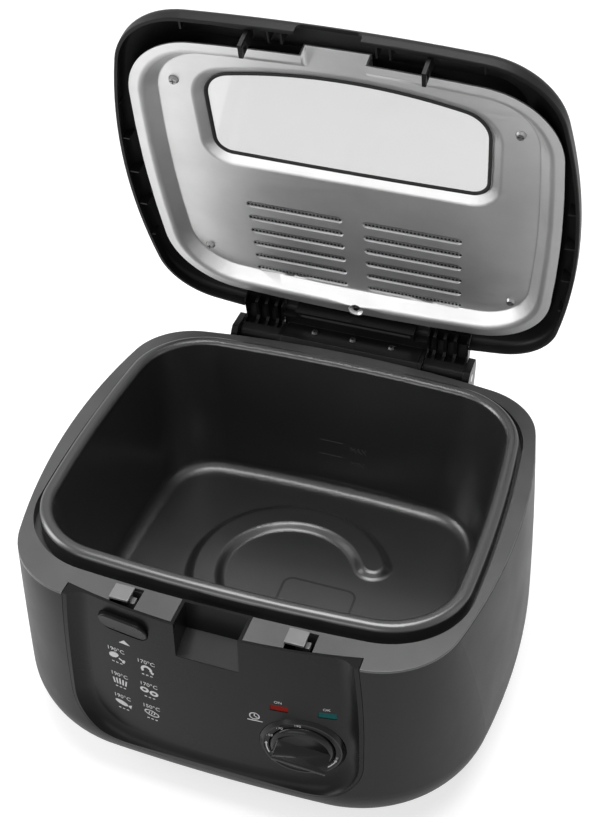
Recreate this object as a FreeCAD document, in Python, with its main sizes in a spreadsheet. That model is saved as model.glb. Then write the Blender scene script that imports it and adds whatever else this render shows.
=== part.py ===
import FreeCAD, Part
import math
import os
from collections import namedtuple

import Sketcher
from FreeCAD import Placement, Rotation, Vector

# Deep fryer with a fixed pot, drawn in millimetres with +Z up.
# Working frame: X to the right, Y to the back, the origin under the middle of the pot, feet on Z = 0.
# Everything is moved by frame_shift along Y at the end, to centre the whole row on the origin.

SIZES = {
    "frame_shift": -6.78,
    # housing tub: three outlines from the rim to the foot
    "rim_height": 168.2,
    "waist_height": 107.0,
    "shell_bottom": 6.5,
    "shell_wall": 2.6,
    "turn_radius": 39.7,
    "rim_half_width": 153.1,
    "waist_half_width": 159.4,
    "foot_half_width": 166.0,
    "rim_front": 147.9,
    "waist_front": 144.8,
    "foot_front": 144.0,
    "rim_back": 137.1,
    "waist_back": 138.1,
    "foot_back": 139.5,
    "widest_place": 9.5,
    "side_radius": 446.0,
    "front_radius": 1360.0,
    "back_radius": 680.0,
    "rim_corner": 54.7,
    "waist_corner": 74.8,
    "foot_corner": 100.0,
    "back_corner_less": 8.5,
    "base_opening_inset": 47.0,
    "base_plate_inset": 42.0,
    "base_plate_bottom": 4.2,
    "foot_pad_radius": 9.5,
    "foot_pad_x": 92.0,
    "foot_pad_y": 74.0,
    # rim ring and the ledge that carries the pot
    "rim_thickness": 1.6,
    "rim_seam": 0.3,
    "rim_edge_round": 0.5,
    "rim_opening_half_width": 143.0,
    "rim_opening_half_depth": 127.0,
    "rim_skirt": 2.0,
    "ledge_top": 159.0,
    "ledge_thickness": 2.0,
    # pot
    "pot_half_width": 136.0,
    "pot_half_depth": 117.3,
    "pot_side_radius": 930.0,
    "pot_front_radius": 1200.0,
    "pot_corner": 49.4,
    "crest_height": 175.0,
    "bead_radius": 4.3,
    "pot_wall": 1.6,
    "floor_height": 64.0,
    "floor_half_width": 120.0,
    "floor_half_depth": 106.5,
    "floor_corner": 42.0,
    "floor_fillet": 10.0,
    "emboss_back": 8.0,
    "emboss_inner": 46.5,
    "emboss_outer": 72.5,
    "emboss_height": 4.0,
    "emboss_slope": 5.0,
    "emboss_start": 28.0,
    "emboss_sweep": 262.0,
    # control panel
    "panel_front": 147.2,
    "panel_radius": 416.0,
    "panel_lean": 0.06,
    "panel_wall": 1.8,
    "panel_top_half": 90.3,
    "panel_foot_half": 95.5,
    "panel_foot": 36.0,
    "panel_corner": 38.0,
    "panel_cove": 11.5,
    "panel_gap": 0.3,
    "panel_land": 0.4,
    "pocket_half_width": 19.6,
    "pocket_back": 128.4,
    "pocket_floor_back": 147.0,
    "pocket_floor_front": 140.3,
    "pocket_wall": 2.0,
    # controls
    "knob_x": 57.0,
    "knob_z": 79.3,
    "knob_radius": 20.0,
    "knob_base": 5.0,
    "knob_grip": 15.5,
    "knob_grip_length": 34.0,
    "knob_grip_root": 14.0,
    "knob_grip_tip": 2.4,
    "knob_turned": -15.0,
    "bezel_radius": 26.5,
    "bezel_inner": 23.4,
    "bezel_rise": 2.4,
    "shaft_radius": 3.0,
    "shaft_clearance": 0.05,
    "lens_height": 113.4,
    "power_lens_x": 43.0,
    "ready_lens_x": 71.6,
    "lens_length": 10.8,
    "lens_width": 5.3,
    "lens_depth": 8.0,
    "button_x": -53.2,
    "button_z": 152.0,
    "button_length": 32.4,
    "button_height": 16.0,
    "button_corner": 7.0,
    "button_travel": 3.0,
    "latch_travel": 4.5,
    "window_left": 61.9,
    "window_right": 45.4,
    "window_front": 148.0,
    "window_back": 127.6,
    "hook_top": 170.4,
    # lid, drawn closed
    "lid_open_angle": 70.47,
    "hinge_back": 149.1,
    "hinge_height": 159.3,
    "lid_rim": 169.3,
    "lid_half_width": 152.4,
    "lid_front": 144.8,
    "lid_back": 135.5,
    "lid_corner": 54.0,
    "lid_wall": 2.4,
    "lid_shoulder": 178.5,
    "lid_slope": 28.0,
    "lid_slope_run": 44.0,
    "lid_top": 201.5,
    "lid_crown_radius": 1187.0,
    "lid_edge_round": 6.5,
    "lid_lip_round": 0.8,
    "handle_way_height": 7.0,
    "lid_notch_back": 127.3,
    "lid_notch_half": 42.0,
    "plate_flange": 175.6,
    "plate_flat": 184.6,
    "plate_sheet": 1.0,
    "plate_half_width": 140.1,
    "plate_half_depth": 121.0,
    "plate_corner": 53.4,
    "plate_border": 7.0,
    "plate_slope": 8.0,
    "glass_half_width": 92.4,
    "glass_front": 94.0,
    "glass_back": 12.0,
    "glass_arch_radius": 330.0,
    "glass_level": 188.6,
    "glass_thickness": 2.8,
    "glass_lap": 5.0,
    "window_dish": 1.72,
    "window_dish_wall": 4.4,
    "slot_first": 31.4,
    "slot_pitch": 13.79,
    "slot_inner": 7.0,
    "slot_outer": 75.0,
    "slot_height": 6.4,
    "screw_radius": 1.5,
    "screw_head_radius": 3.4,
    "screw_head_height": 2.0,
    # hinge
    "arm_inner": 54.4,
    "arm_outer": 84.0,
    "pin_radius": 3.0,
    "pin_clearance": 0.05,
    "barrel_radius": 8.0,
    "bracket_half_width": 51.5,
    "bracket_bottom": 120.0,
    "upstand_front": 157.5,
    "upstand_top": 177.0,
    # electrics and heating
    "element_radius": 59.5,
    "element_width": 8.0,
    "shield_height": 44.0,
    "shield_rim": 9.0,
    "grommet_height": 60.0,
    "grommet_radius": 7.5,
}

doc = FreeCAD.newDocument("DeepFryer")
sheet = doc.addObject("Spreadsheet::Sheet", "Sizes")
for row, (alias, value) in enumerate(SIZES.items(), start=1):
    sheet.set(f"A{row}", alias)
    sheet.set(f"B{row}", str(value))
    sheet.setAlias(f"B{row}", alias)
doc.recompute()

X_AXIS = Vector(1, 0, 0)
Y_AXIS = Vector(0, 1, 0)
Z_AXIS = Vector(0, 0, 1)


def size(alias):
    """One driving dimension, read from the sheet."""
    return float(sheet.get(alias))


# Outlines seen from above: a front, two side and a back arc joined by four tangent corner arcs.
Outline = namedtuple(
    "Outline", "half_width widest side_r front front_r back back_r front_corner back_corner"
)
SMALLEST_CORNER = 9.0


def grown(outline, step):
    """The outline moved outward by step all round; inward when step is negative."""
    return Outline(
        outline.half_width + step,
        outline.widest,
        outline.side_r + step,
        outline.front - step,
        outline.front_r + step,
        outline.back + step,
        outline.back_r + step,
        max(outline.front_corner + step, SMALLEST_CORNER),
        max(outline.back_corner + step, SMALLEST_CORNER),
    )


def circle_meeting(first, first_r, second, second_r, sign):
    """Where two circles cross: the point further back for sign 1, further forward for -1."""
    gap = second - first
    distance = gap.Length
    along = (first_r**2 - second_r**2 + distance**2) / (2 * distance)
    across = math.sqrt(first_r**2 - along**2)
    unit = gap * (1 / distance)
    middle = first + unit * along
    normal = Vector(-unit.y, unit.x, 0) * across
    return max((middle + normal, middle - normal), key=lambda point: sign * point.y)


def on_circle(centre, radius, toward):
    """The point of a circle that faces another point."""
    return centre + (toward - centre).normalize() * radius


def outline_wire(outline, height):
    """The closed wire of an outline at a height, always with the same eight arcs."""
    front = Vector(0, outline.front + outline.front_r, 0)
    side = Vector(outline.half_width - outline.side_r, outline.widest, 0)
    back = Vector(0, outline.back - outline.back_r, 0)
    front_reach = outline.front_r - outline.front_corner
    back_reach = outline.back_r - outline.back_corner
    near = circle_meeting(front, front_reach, side, outline.side_r - outline.front_corner, -1)
    far = circle_meeting(back, back_reach, side, outline.side_r - outline.back_corner, 1)
    points = [
        on_circle(front, outline.front_r, near),
        on_circle(side, outline.side_r, near),
        on_circle(side, outline.side_r, far),
        on_circle(back, outline.back_r, far),
    ]
    middles = [
        on_circle(near, outline.front_corner, (points[0] + points[1]) * 0.5),
        on_circle(side, outline.side_r, (points[1] + points[2]) * 0.5),
        on_circle(far, outline.back_corner, (points[2] + points[3]) * 0.5),
    ]

    def mirrored(point):
        return Vector(-point.x, point.y, point.z)

    arcs = [Part.Arc(mirrored(points[0]), Vector(0, outline.front, 0), points[0])]
    for place in range(3):
        arcs.append(Part.Arc(points[place], middles[place], points[place + 1]))
    arcs.append(Part.Arc(points[3], Vector(0, outline.back, 0), mirrored(points[3])))
    for place in (2, 1, 0):
        start = mirrored(points[place + 1])
        arcs.append(Part.Arc(start, mirrored(middles[place]), mirrored(points[place])))
    wire = Part.Wire([arc.toShape() for arc in arcs])
    wire.translate(Vector(0, 0, height))
    return wire


def slab(outline, low, high):
    """An outline raised straight from one height to another."""
    return Part.Face(outline_wire(outline, low)).extrude(Vector(0, 0, high - low))


def loft(sections):
    """A smooth solid through (outline, height) pairs."""
    return Part.makeLoft([outline_wire(outline, height) for outline, height in sections], True, False)


def level_edges(shape, height):
    """Edges that lie at one height."""
    tolerance = 1e-3
    return [
        edge
        for edge in shape.Edges
        if abs(edge.BoundBox.ZMin - height) < tolerance and abs(edge.BoundBox.ZMax - height) < tolerance
    ]


def block(x_low, x_high, y_low, y_high, z_low, z_high):
    """A box between two limits on each axis."""
    corner = Vector(x_low, y_low, z_low)
    return Part.makeBox(x_high - x_low, y_high - y_low, z_high - z_low, corner)


def rod(radius, start, end):
    """A round bar between two points."""
    direction = end - start
    return Part.makeCylinder(radius, direction.Length, start, direction)


def side_profile(points, x_low, x_high):
    """A polygon of (y, z) points raised along X."""
    corners = [Vector(x_low, y, z) for y, z in points]
    face = Part.Face(Part.makePolygon(corners + corners[:1]))
    return face.extrude(Vector(x_high - x_low, 0, 0))


def joined(shapes):
    """One solid out of touching or overlapping shapes, without seams on flush faces."""
    return shapes[0].multiFuse(shapes[1:]).removeSplitter()


def both_sides(shape):
    """A shape and its mirror image in the middle plane."""
    return [shape, shape.mirror(Vector(0, 0, 0), X_AXIS)]


pieces = []


def piece(label, form, lid=False):
    """A finished node from a shape or a document object: the lid's pieces are turned open."""
    if isinstance(form, Part.Shape):
        node = doc.addObject("Part::Feature", label)
        node.Shape = form
    else:
        node = form
    node.Label = label
    place = Placement(Vector(0, size("frame_shift"), 0), Rotation())
    if lid:
        hinge = Vector(0, size("hinge_back"), size("hinge_height"))
        turned = Placement(Vector(0, 0, 0), Rotation(X_AXIS, -size("lid_open_angle")), hinge)
        place = place.multiply(turned)
    node.Placement = place.multiply(node.Placement)
    pieces.append(node)
    return node


# Housing tub

rim_outline = Outline(
    size("rim_half_width"),
    size("widest_place"),
    size("side_radius"),
    -size("rim_front"),
    size("front_radius"),
    size("rim_back"),
    size("back_radius"),
    size("rim_corner"),
    size("rim_corner") - size("back_corner_less"),
)
waist_outline = rim_outline._replace(
    half_width=size("waist_half_width"),
    front=-size("waist_front"),
    back=size("waist_back"),
    front_corner=size("waist_corner"),
    back_corner=size("waist_corner") - size("back_corner_less"),
)
foot_outline = rim_outline._replace(
    half_width=size("foot_half_width"),
    front=-size("foot_front"),
    back=size("foot_back"),
    front_corner=size("foot_corner"),
    back_corner=size("foot_corner") - size("back_corner_less"),
)


def tub(inset):
    """The tub's form with a rounded foot, moved inward by inset."""
    bottom = size("shell_bottom") + inset
    form = loft(
        [
            (grown(rim_outline, -inset), size("rim_height")),
            (grown(waist_outline, -inset), size("waist_height")),
            (grown(foot_outline, -inset), bottom),
        ]
    )
    return form.makeFillet(size("turn_radius") - inset, level_edges(form, bottom))


tub_outer = tub(0)
tub_inner = tub(size("shell_wall"))


# Control panel: a leaning cylindrical dish with a cove round its border


def panel_block(grow, front, back, top):
    """The panel's outline in front view, raised along Y; sides swell in arcs tangent to the corners."""
    foot_half = size("panel_foot_half") + grow
    radius = size("panel_corner") + grow
    bottom = size("panel_foot") - grow
    tangent = bottom + radius
    rise = size("rim_height") - tangent
    lean = size("panel_foot_half") - size("panel_top_half")
    swell = (rise**2 + lean**2) / (2 * lean)

    def side(height):
        return foot_half - (swell - math.sqrt(swell**2 - (height - tangent) ** 2))

    def at(x, z):
        return Vector(x, front, z)

    knee = radius * math.sin(math.pi / 4)
    middle = (tangent + top) / 2
    arcs = []
    for sign in (1, -1):
        arcs.append(
            [
                Part.Arc(
                    at(sign * (foot_half - radius), bottom),
                    at(sign * (foot_half - radius + knee), tangent - knee),
                    at(sign * foot_half, tangent),
                ).toShape(),
                Part.Arc(
                    at(sign * foot_half, tangent),
                    at(sign * side(middle), middle),
                    at(sign * side(top), top),
                ).toShape(),
            ]
        )
    foot = Part.makeLine(at(radius - foot_half, bottom), at(foot_half - radius, bottom))
    head = Part.makeLine(at(side(top), top), at(-side(top), top))
    wire = Part.Wire(Part.sortEdges([foot, *arcs[0], head, *arcs[1]])[0])
    return Part.Face(wire).extrude(Vector(0, back - front, 0))


def panel_cylinder(depth):
    """The leaning cylinder whose front is the dish; depth is measured back from its surface."""
    below = 60.0
    height = 320.0
    lean_back = size("panel_lean") * (size("rim_height") + below)
    axis_back = size("panel_radius") - size("panel_front") + lean_back
    direction = Vector(0, -size("panel_lean"), 1)
    return Part.makeCylinder(size("panel_radius") - depth, height, Vector(0, axis_back, -below), direction)


def panel_point(x, z):
    """A point of the dish."""
    lean = size("panel_lean") * (size("rim_height") - z)
    return Vector(x, -size("panel_front") + x**2 / (2 * size("panel_radius")) + lean, z)


def panel_frame(x, z, turn=0.0):
    """Placement with its Z axis out of the dish and its X axis to the right along it."""
    out = Vector(x / size("panel_radius"), -1, -size("panel_lean")).normalize()
    right = Vector(1, x / size("panel_radius"), 0).normalize()
    upright = Rotation(right, out.cross(right), out, "ZXY")
    return Placement(panel_point(x, z), upright.multiply(Rotation(Z_AXIS, turn)))


PANEL_FAR_FRONT = -175.0
PANEL_FAR_BACK = -100.0
ABOVE = 20.0

dish_inset = size("panel_gap") + size("panel_land")
dish_tool = panel_block(-dish_inset, PANEL_FAR_FRONT, PANEL_FAR_BACK, size("rim_height") + ABOVE)
dish_tool = dish_tool.cut(panel_cylinder(0))
cove_edges = []
for edge in dish_tool.Edges:
    middle = edge.valueAt((edge.FirstParameter + edge.LastParameter) / 2)
    if middle.y > PANEL_FAR_FRONT + 1 and middle.z < size("rim_height") + ABOVE - 1:
        tangent = edge.tangentAt((edge.FirstParameter + edge.LastParameter) / 2)
        if abs(tangent.y) < 0.6:
            cove_edges.append(edge)
dish_tool = dish_tool.makeFillet(size("panel_cove"), cove_edges)

panel = panel_block(-size("panel_gap"), PANEL_FAR_FRONT, PANEL_FAR_BACK, size("rim_height"))
panel = panel.common(tub_outer).cut(dish_tool).cut(panel_cylinder(size("panel_wall")))

pocket_half = size("pocket_half_width")
pocket_wall = size("pocket_wall")
pocket_space = side_profile(
    [
        (-size("pocket_back"), size("rim_height") + ABOVE),
        (-size("pocket_back"), size("pocket_floor_back")),
        (-size("panel_front") + 1.6, size("pocket_floor_front")),
        (PANEL_FAR_FRONT, size("pocket_floor_front")),
        (PANEL_FAR_FRONT, size("rim_height") + ABOVE),
    ],
    -pocket_half,
    pocket_half,
)
pocket_box = side_profile(
    [
        (-size("pocket_back") + pocket_wall, size("rim_height")),
        (-size("pocket_back") + pocket_wall, size("pocket_floor_back") - pocket_wall),
        (-size("panel_front") + 4.0, size("pocket_floor_front") - pocket_wall),
        (PANEL_FAR_FRONT, size("pocket_floor_front") - pocket_wall),
        (PANEL_FAR_FRONT, size("rim_height")),
    ],
    -pocket_half - pocket_wall,
    pocket_half + pocket_wall,
)
panel = panel.fuse(pocket_box.common(panel_cylinder(0.5)))
panel = panel.cut(pocket_space)

knob_place = panel_frame(size("knob_x"), size("knob_z"))
bezel_hole = Part.makeCylinder(size("bezel_radius") + size("panel_gap"), 20, Vector(0, 0, -10))
bezel_hole.Placement = knob_place
panel = panel.cut(bezel_hole)


def rounded_bar(length, width, depth, low, radius):
    """A bar with rounded ends standing on a local XY plane."""
    bar = Part.makeBox(length, width, depth, Vector(-length / 2, -width / 2, low))
    upright = [edge for edge in bar.Edges if edge.BoundBox.ZLength > depth / 2]
    return bar.makeFillet(radius, upright)


LENS_FIT = 0.1
LENS_ROUND = 0.6
for lens_x in (size("power_lens_x"), size("ready_lens_x")):
    hole = rounded_bar(
        size("lens_length") + 2 * LENS_FIT,
        size("lens_width") + 2 * LENS_FIT,
        20,
        -10,
        LENS_ROUND + LENS_FIT,
    )
    hole.Placement = panel_frame(lens_x, size("lens_height"))
    panel = panel.cut(hole)


def button_column(grow, front, back):
    """The release button's rounded outline, raised along Y."""
    column = rounded_bar(
        size("button_length") + 2 * grow,
        size("button_height") + 2 * grow,
        back - front,
        -back,
        size("button_corner") + grow,
    )
    column.rotate(Vector(0, 0, 0), X_AXIS, 90)
    column.translate(Vector(size("button_x"), 0, size("button_z")))
    return column


panel = panel.cut(button_column(0.4, PANEL_FAR_FRONT, PANEL_FAR_BACK))
piece("front_panel", panel.removeSplitter())

shell = tub_outer.cut(tub_inner)
shell = shell.cut(panel_block(0, PANEL_FAR_FRONT, PANEL_FAR_BACK, size("rim_height") + 1))
base_opening = grown(foot_outline, -size("base_opening_inset"))
shell = shell.cut(slab(base_opening, 0, 20))
collar = panel_block(2.4, PANEL_FAR_FRONT, PANEL_FAR_BACK, size("rim_height"))
collar = collar.cut(panel_block(0, PANEL_FAR_FRONT, PANEL_FAR_BACK, size("rim_height") + 1))
collar = collar.common(tub_outer).cut(panel_cylinder(size("panel_wall") + 4.0))
shell = shell.fuse(collar)
rim_low = size("rim_height") - size("rim_thickness")
shell = shell.cut(slab(grown(rim_outline, 10), rim_low - size("rim_seam"), size("rim_height") + 1))

# A shelf inside the wall carries the rim ring
rim_opening = Outline(
    size("rim_opening_half_width"),
    0,
    size("pot_side_radius"),
    -size("rim_opening_half_depth"),
    size("pot_front_radius"),
    size("rim_opening_half_depth"),
    size("pot_front_radius"),
    size("pot_corner") + 6,
    size("pot_corner") + 6,
)
SHELF_THICKNESS = 2.5
SHELF_CLEARANCE = 0.3
shelf_low = rim_low - SHELF_THICKNESS
shelf = slab(grown(rim_outline, -size("shell_wall") + 0.6), shelf_low, rim_low)
shelf = shelf.cut(slab(grown(rim_outline, -7), shelf_low - 1, rim_low + 1))
skirt_room = grown(rim_opening, size("rim_skirt") + SHELF_CLEARANCE)
shelf = shelf.cut(slab(skirt_room, shelf_low - 1, rim_low + 1))
shelf = shelf.cut(panel_block(2, PANEL_FAR_FRONT, -90, size("rim_height") + 1))
shell = shell.fuse(shelf)
grommet_start = Vector(0, 120, size("grommet_height"))
grommet_end = Vector(0, 160, size("grommet_height"))
shell = shell.cut(rod(size("grommet_radius") + 0.1, grommet_start, grommet_end))

# Screw posts of the tub's foot, level with the opening for the base plate
base_screw_places = [(x, y) for x in (-112.0, 112.0) for y in (-48.0, 52.0)]
for x, y in base_screw_places:
    post = rod(4.5, Vector(x, y, size("shell_bottom")), Vector(x, y, 24))
    shell = shell.fuse(post)
    shell = shell.cut(rod(size("screw_radius") + 0.05, Vector(x, y, 0), Vector(x, y, 20)))
piece("housing_shell", shell.removeSplitter())

# Base plate, its screws and the feet

base_top = size("shell_bottom")
base = slab(grown(foot_outline, -size("base_plate_inset")), size("base_plate_bottom"), base_top)
VENT_COUNT = 7
VENT_PITCH = 11.0
VENT_LENGTH = 62.0
for side_x in (-45.0, 45.0):
    for number in range(VENT_COUNT):
        vent = rounded_bar(VENT_LENGTH, 4.0, 10, 0, 1.9)
        vent.translate(Vector(side_x, (number - (VENT_COUNT - 1) / 2) * VENT_PITCH, 0))
        base = base.cut(vent)
for x, y in base_screw_places:
    base = base.cut(rod(size("screw_radius") + 0.3, Vector(x, y, 0), Vector(x, y, 20)))
foot_places = [
    Vector(sx * size("foot_pad_x"), sy * size("foot_pad_y"), 0) for sx in (-1, 1) for sy in (-1, 1)
]
for place in foot_places:
    base = base.cut(rod(4.1, place, place + Z_AXIS * 12))
piece("base_plate", base)

base_screws = []
for x, y in base_screw_places:
    head_low = size("base_plate_bottom") - size("screw_head_height")
    head = rod(size("screw_head_radius"), Vector(x, y, head_low), Vector(x, y, size("base_plate_bottom")))
    shank = rod(size("screw_radius"), Vector(x, y, head_low), Vector(x, y, 18))
    base_screws.append(head.fuse(shank).removeSplitter())
piece("base_screws", Part.makeCompound(base_screws))

foot_body = doc.addObject("PartDesign::Body", "foot_pattern")
foot_sketch = foot_body.newObject("Sketcher::SketchObject", "foot_outline")


def base_plane(body, role):
    """One of a body's own origin planes."""
    return next(feature for feature in body.Origin.OriginFeatures if feature.Role == role)


def attach(sketch, body, role, offset=0.0):
    """Put a sketch on an origin plane, lifted by offset."""
    sketch.AttachmentSupport = (base_plane(body, role), "")
    sketch.MapMode = "FlatFace"
    sketch.AttachmentOffset = Placement(Vector(0, 0, offset), Rotation())


def circle(sketch, alias):
    """A circle about the sketch origin with its radius bound to the sheet."""
    number = sketch.addGeometry(Part.Circle(Vector(0, 0, 0), Z_AXIS, size(alias)), False)
    sketch.addConstraint(Sketcher.Constraint("Coincident", number, 3, -1, 1))
    radius = sketch.addConstraint(Sketcher.Constraint("Radius", number, size(alias)))
    sketch.setExpression(f"Constraints[{radius}]", f"Sizes.{alias}")


def rectangle(sketch, length_alias, width_alias):
    """A rectangle about the sketch origin with both sides bound to the sheet."""
    half_length = size(length_alias) / 2
    half_width = size(width_alias) / 2
    corners = [
        Vector(-half_length, -half_width, 0),
        Vector(half_length, -half_width, 0),
        Vector(half_length, half_width, 0),
        Vector(-half_length, half_width, 0),
    ]
    lines = [Part.LineSegment(corners[side], corners[(side + 1) % 4]) for side in range(4)]
    sketch.addGeometry(lines, False)
    for side in range(4):
        sketch.addConstraint(Sketcher.Constraint("Coincident", side, 2, (side + 1) % 4, 1))
    for side in (0, 2):
        sketch.addConstraint(Sketcher.Constraint("Horizontal", side))
    for side in (1, 3):
        sketch.addConstraint(Sketcher.Constraint("Vertical", side))
    sketch.addConstraint(Sketcher.Constraint("Symmetric", 0, 1, 1, 2, -1, 1))
    length = sketch.addConstraint(Sketcher.Constraint("DistanceX", 0, 1, 0, 2, size(length_alias)))
    width = sketch.addConstraint(Sketcher.Constraint("DistanceY", 1, 1, 1, 2, size(width_alias)))
    sketch.setExpression(f"Constraints[{length}]", f"Sizes.{length_alias}")
    sketch.setExpression(f"Constraints[{width}]", f"Sizes.{width_alias}")


def wedge(sketch, root_alias, tip_alias, height_alias):
    """A symmetric trapezoid standing on the sketch origin, its three sizes bound to the sheet."""
    root = size(root_alias) / 2
    tip = size(tip_alias) / 2
    high = size(height_alias)
    corners = [Vector(-root, 0, 0), Vector(root, 0, 0), Vector(tip, high, 0), Vector(-tip, high, 0)]
    lines = [Part.LineSegment(corners[side], corners[(side + 1) % 4]) for side in range(4)]
    sketch.addGeometry(lines, False)
    for side in range(4):
        sketch.addConstraint(Sketcher.Constraint("Coincident", side, 2, (side + 1) % 4, 1))
    sketch.addConstraint(Sketcher.Constraint("Symmetric", 0, 1, 0, 2, -1, 1))
    sketch.addConstraint(Sketcher.Constraint("Horizontal", 0))
    sketch.addConstraint(Sketcher.Constraint("Symmetric", 2, 1, 2, 2, -2))
    bounds = [
        sketch.addConstraint(Sketcher.Constraint("DistanceX", 0, 1, 0, 2, 2 * root)),
        sketch.addConstraint(Sketcher.Constraint("DistanceX", 2, 2, 2, 1, 2 * tip)),
        sketch.addConstraint(Sketcher.Constraint("DistanceY", 0, 2, 2, 1, high)),
    ]
    for number, alias in zip(bounds, (root_alias, tip_alias, height_alias)):
        sketch.setExpression(f"Constraints[{number}]", f"Sizes.{alias}")


def pad(body, sketch, name, length, taper=0.0):
    """Raise a sketch by a sheet expression."""
    feature = body.newObject("PartDesign::Pad", name)
    feature.Profile = sketch
    feature.setExpression("Length", length)
    feature.TaperAngle = taper
    sketch.Visibility = False
    doc.recompute()
    return feature


def rounded(body, feature, name, edges, radius):
    """Round some edges of a feature."""
    fillet = body.newObject("PartDesign::Fillet", name)
    fillet.Base = (feature, edges)
    fillet.Radius = radius
    doc.recompute()
    return fillet


def edge_names(shape, wanted):
    """Names of the edges that a test picks."""
    return [f"Edge{number}" for number, edge in enumerate(shape.Edges, start=1) if wanted(edge)]


attach(foot_sketch, foot_body, "XY_Plane")
circle(foot_sketch, "foot_pad_radius")
foot_pad = pad(foot_body, foot_sketch, "foot_pad", "Sizes.base_plate_bottom", -8.0)
rounded(
    foot_body,
    foot_pad,
    "foot_round",
    edge_names(foot_pad.Shape, lambda edge: edge.BoundBox.ZMax < 0.01 and edge.Length > 10),
    1.0,
)
plug = rod(4.0, Vector(0, 0, size("base_plate_bottom") - 1), Vector(0, 0, size("shell_bottom") + 1.5))
rubber_foot = foot_body.Shape.fuse(plug).removeSplitter()
piece("rubber_feet", Part.makeCompound([rubber_foot.translated(place) for place in foot_places]))

# Pot with a rolled rim, drafted walls and an embossed floor

crest = Outline(
    size("pot_half_width"),
    0,
    size("pot_side_radius"),
    -size("pot_half_depth"),
    size("pot_front_radius"),
    size("pot_half_depth"),
    size("pot_front_radius"),
    size("pot_corner"),
    size("pot_corner"),
)
floor = crest._replace(
    half_width=size("floor_half_width"),
    front=-size("floor_half_depth"),
    back=size("floor_half_depth"),
    front_corner=size("floor_corner"),
    back_corner=size("floor_corner"),
)
bead = size("bead_radius")
pot_wall = size("pot_wall")
bead_middle = size("crest_height") - bead


def pot_form(grow, low, high):
    """The drafted inside of the pot, moved outward by grow, between two heights."""
    draft = (size("crest_height") - size("floor_height"))

    def section(height):
        part = (height - size("floor_height")) / draft
        blend = [a + (b - a) * part for a, b in zip(floor, grown(crest, -bead))]
        return grown(Outline(*blend), grow), height

    return loft([section(low), section(high)])


pot_inside = pot_form(0, size("floor_height"), size("crest_height") + 2)
pot_inside = pot_inside.makeFillet(
    size("floor_fillet"), level_edges(pot_inside, size("floor_height"))
)
pot_bottom = size("floor_height") - 2.0
pot_body = pot_form(pot_wall, pot_bottom, bead_middle + 1)
pot_body = pot_body.makeFillet(size("floor_fillet") + pot_wall, level_edges(pot_body, pot_bottom))
bead_block = slab(grown(crest, bead), size("ledge_top"), size("crest_height"))
bead_block = bead_block.makeFillet(bead * 0.95, level_edges(bead_block, size("crest_height")))
bead_hollow = slab(grown(crest, bead - pot_wall), size("ledge_top") - 1, bead_middle + 0.8)
bead_ring = bead_block.cut(bead_hollow)
pot = joined([bead_ring, pot_body]).cut(pot_inside)
inner_crest = [
    edge
    for edge in level_edges(pot, size("crest_height"))
    if pot_inside.isInside(edge.valueAt(edge.FirstParameter), 0.05, True)
]
pot = pot.makeFillet(bead * 0.9, inner_crest)

emboss_centre = Vector(0, size("emboss_back"), 0)
emboss_slope = size("emboss_slope")
emboss_points = [
    (size("emboss_inner"), -0.5),
    (size("emboss_inner"), 0),
    (size("emboss_inner") + emboss_slope, size("emboss_height")),
    (size("emboss_outer") - emboss_slope, size("emboss_height")),
    (size("emboss_outer"), 0),
    (size("emboss_outer"), -0.5),
]
emboss_corners = [emboss_centre + Vector(r, 0, size("floor_height") + z) for r, z in emboss_points]
emboss = Part.Face(Part.makePolygon(emboss_corners + emboss_corners[:1]))
emboss = emboss.revolve(emboss_centre, Z_AXIS, size("emboss_sweep"))
emboss.rotate(emboss_centre, Z_AXIS, size("emboss_start"))
emboss_mid = (size("emboss_inner") + size("emboss_outer")) / 2
emboss_half = (size("emboss_outer") - size("emboss_inner")) / 2
ends = []
for angle in (size("emboss_start"), size("emboss_start") + size("emboss_sweep")):
    turn = math.radians(angle)
    place = emboss_centre + Vector(math.cos(turn), math.sin(turn), 0) * emboss_mid
    place.z = size("floor_height")
    ends.append(Part.makeCone(emboss_half, emboss_half - emboss_slope, size("emboss_height"), place))
pot = joined([pot, emboss, *ends])
piece("pot", pot)

# Rim ring: flat top, skirt and the ledge under the pot's rim

ledge_low = size("ledge_top") - size("ledge_thickness")
rim_top = slab(rim_outline, rim_low, size("rim_height"))
rim_top = rim_top.makeFillet(size("rim_edge_round"), level_edges(rim_top, size("rim_height")))
rim_skirt = slab(grown(rim_opening, size("rim_skirt")), ledge_low, size("rim_height") - 1)
rim = joined([rim_top, rim_skirt])
rim = rim.cut(slab(rim_opening, size("ledge_top"), size("rim_height") + 1))
pot_clear = pot_form(pot_wall + 1.0, ledge_low - 1, size("ledge_top") + 1)
rim = rim.cut(pot_clear)
rim = rim.cut(
    block(
        -pocket_half - pocket_wall - 0.2,
        pocket_half + pocket_wall + 0.2,
        PANEL_FAR_FRONT,
        -size("pocket_back") + pocket_wall + 0.2,
        ledge_low - 1,
        size("rim_height") + 1,
    )
)
panel_room = panel_block(size("panel_gap"), PANEL_FAR_FRONT, -90, size("rim_height") + 1)
rim = rim.cut(panel_room.cut(panel_cylinder(size("panel_wall") + size("panel_gap"))))
for left in (-size("window_left"), size("window_right")):
    window = block(
        left,
        left + size("window_left") - size("window_right"),
        -size("window_front"),
        -size("window_back"),
        rim_low - 1,
        size("rim_height") + 1,
    )
    rim = rim.cut(window)
piece("rim_ring", rim.removeSplitter())

# Lid shell, drawn closed: short wall, rounded shoulder and a low crown

lid_outline = rim_outline._replace(
    half_width=size("lid_half_width"),
    front=-size("lid_front"),
    back=size("lid_back"),
    front_corner=size("lid_corner"),
    back_corner=size("lid_corner") - size("back_corner_less"),
)


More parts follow.
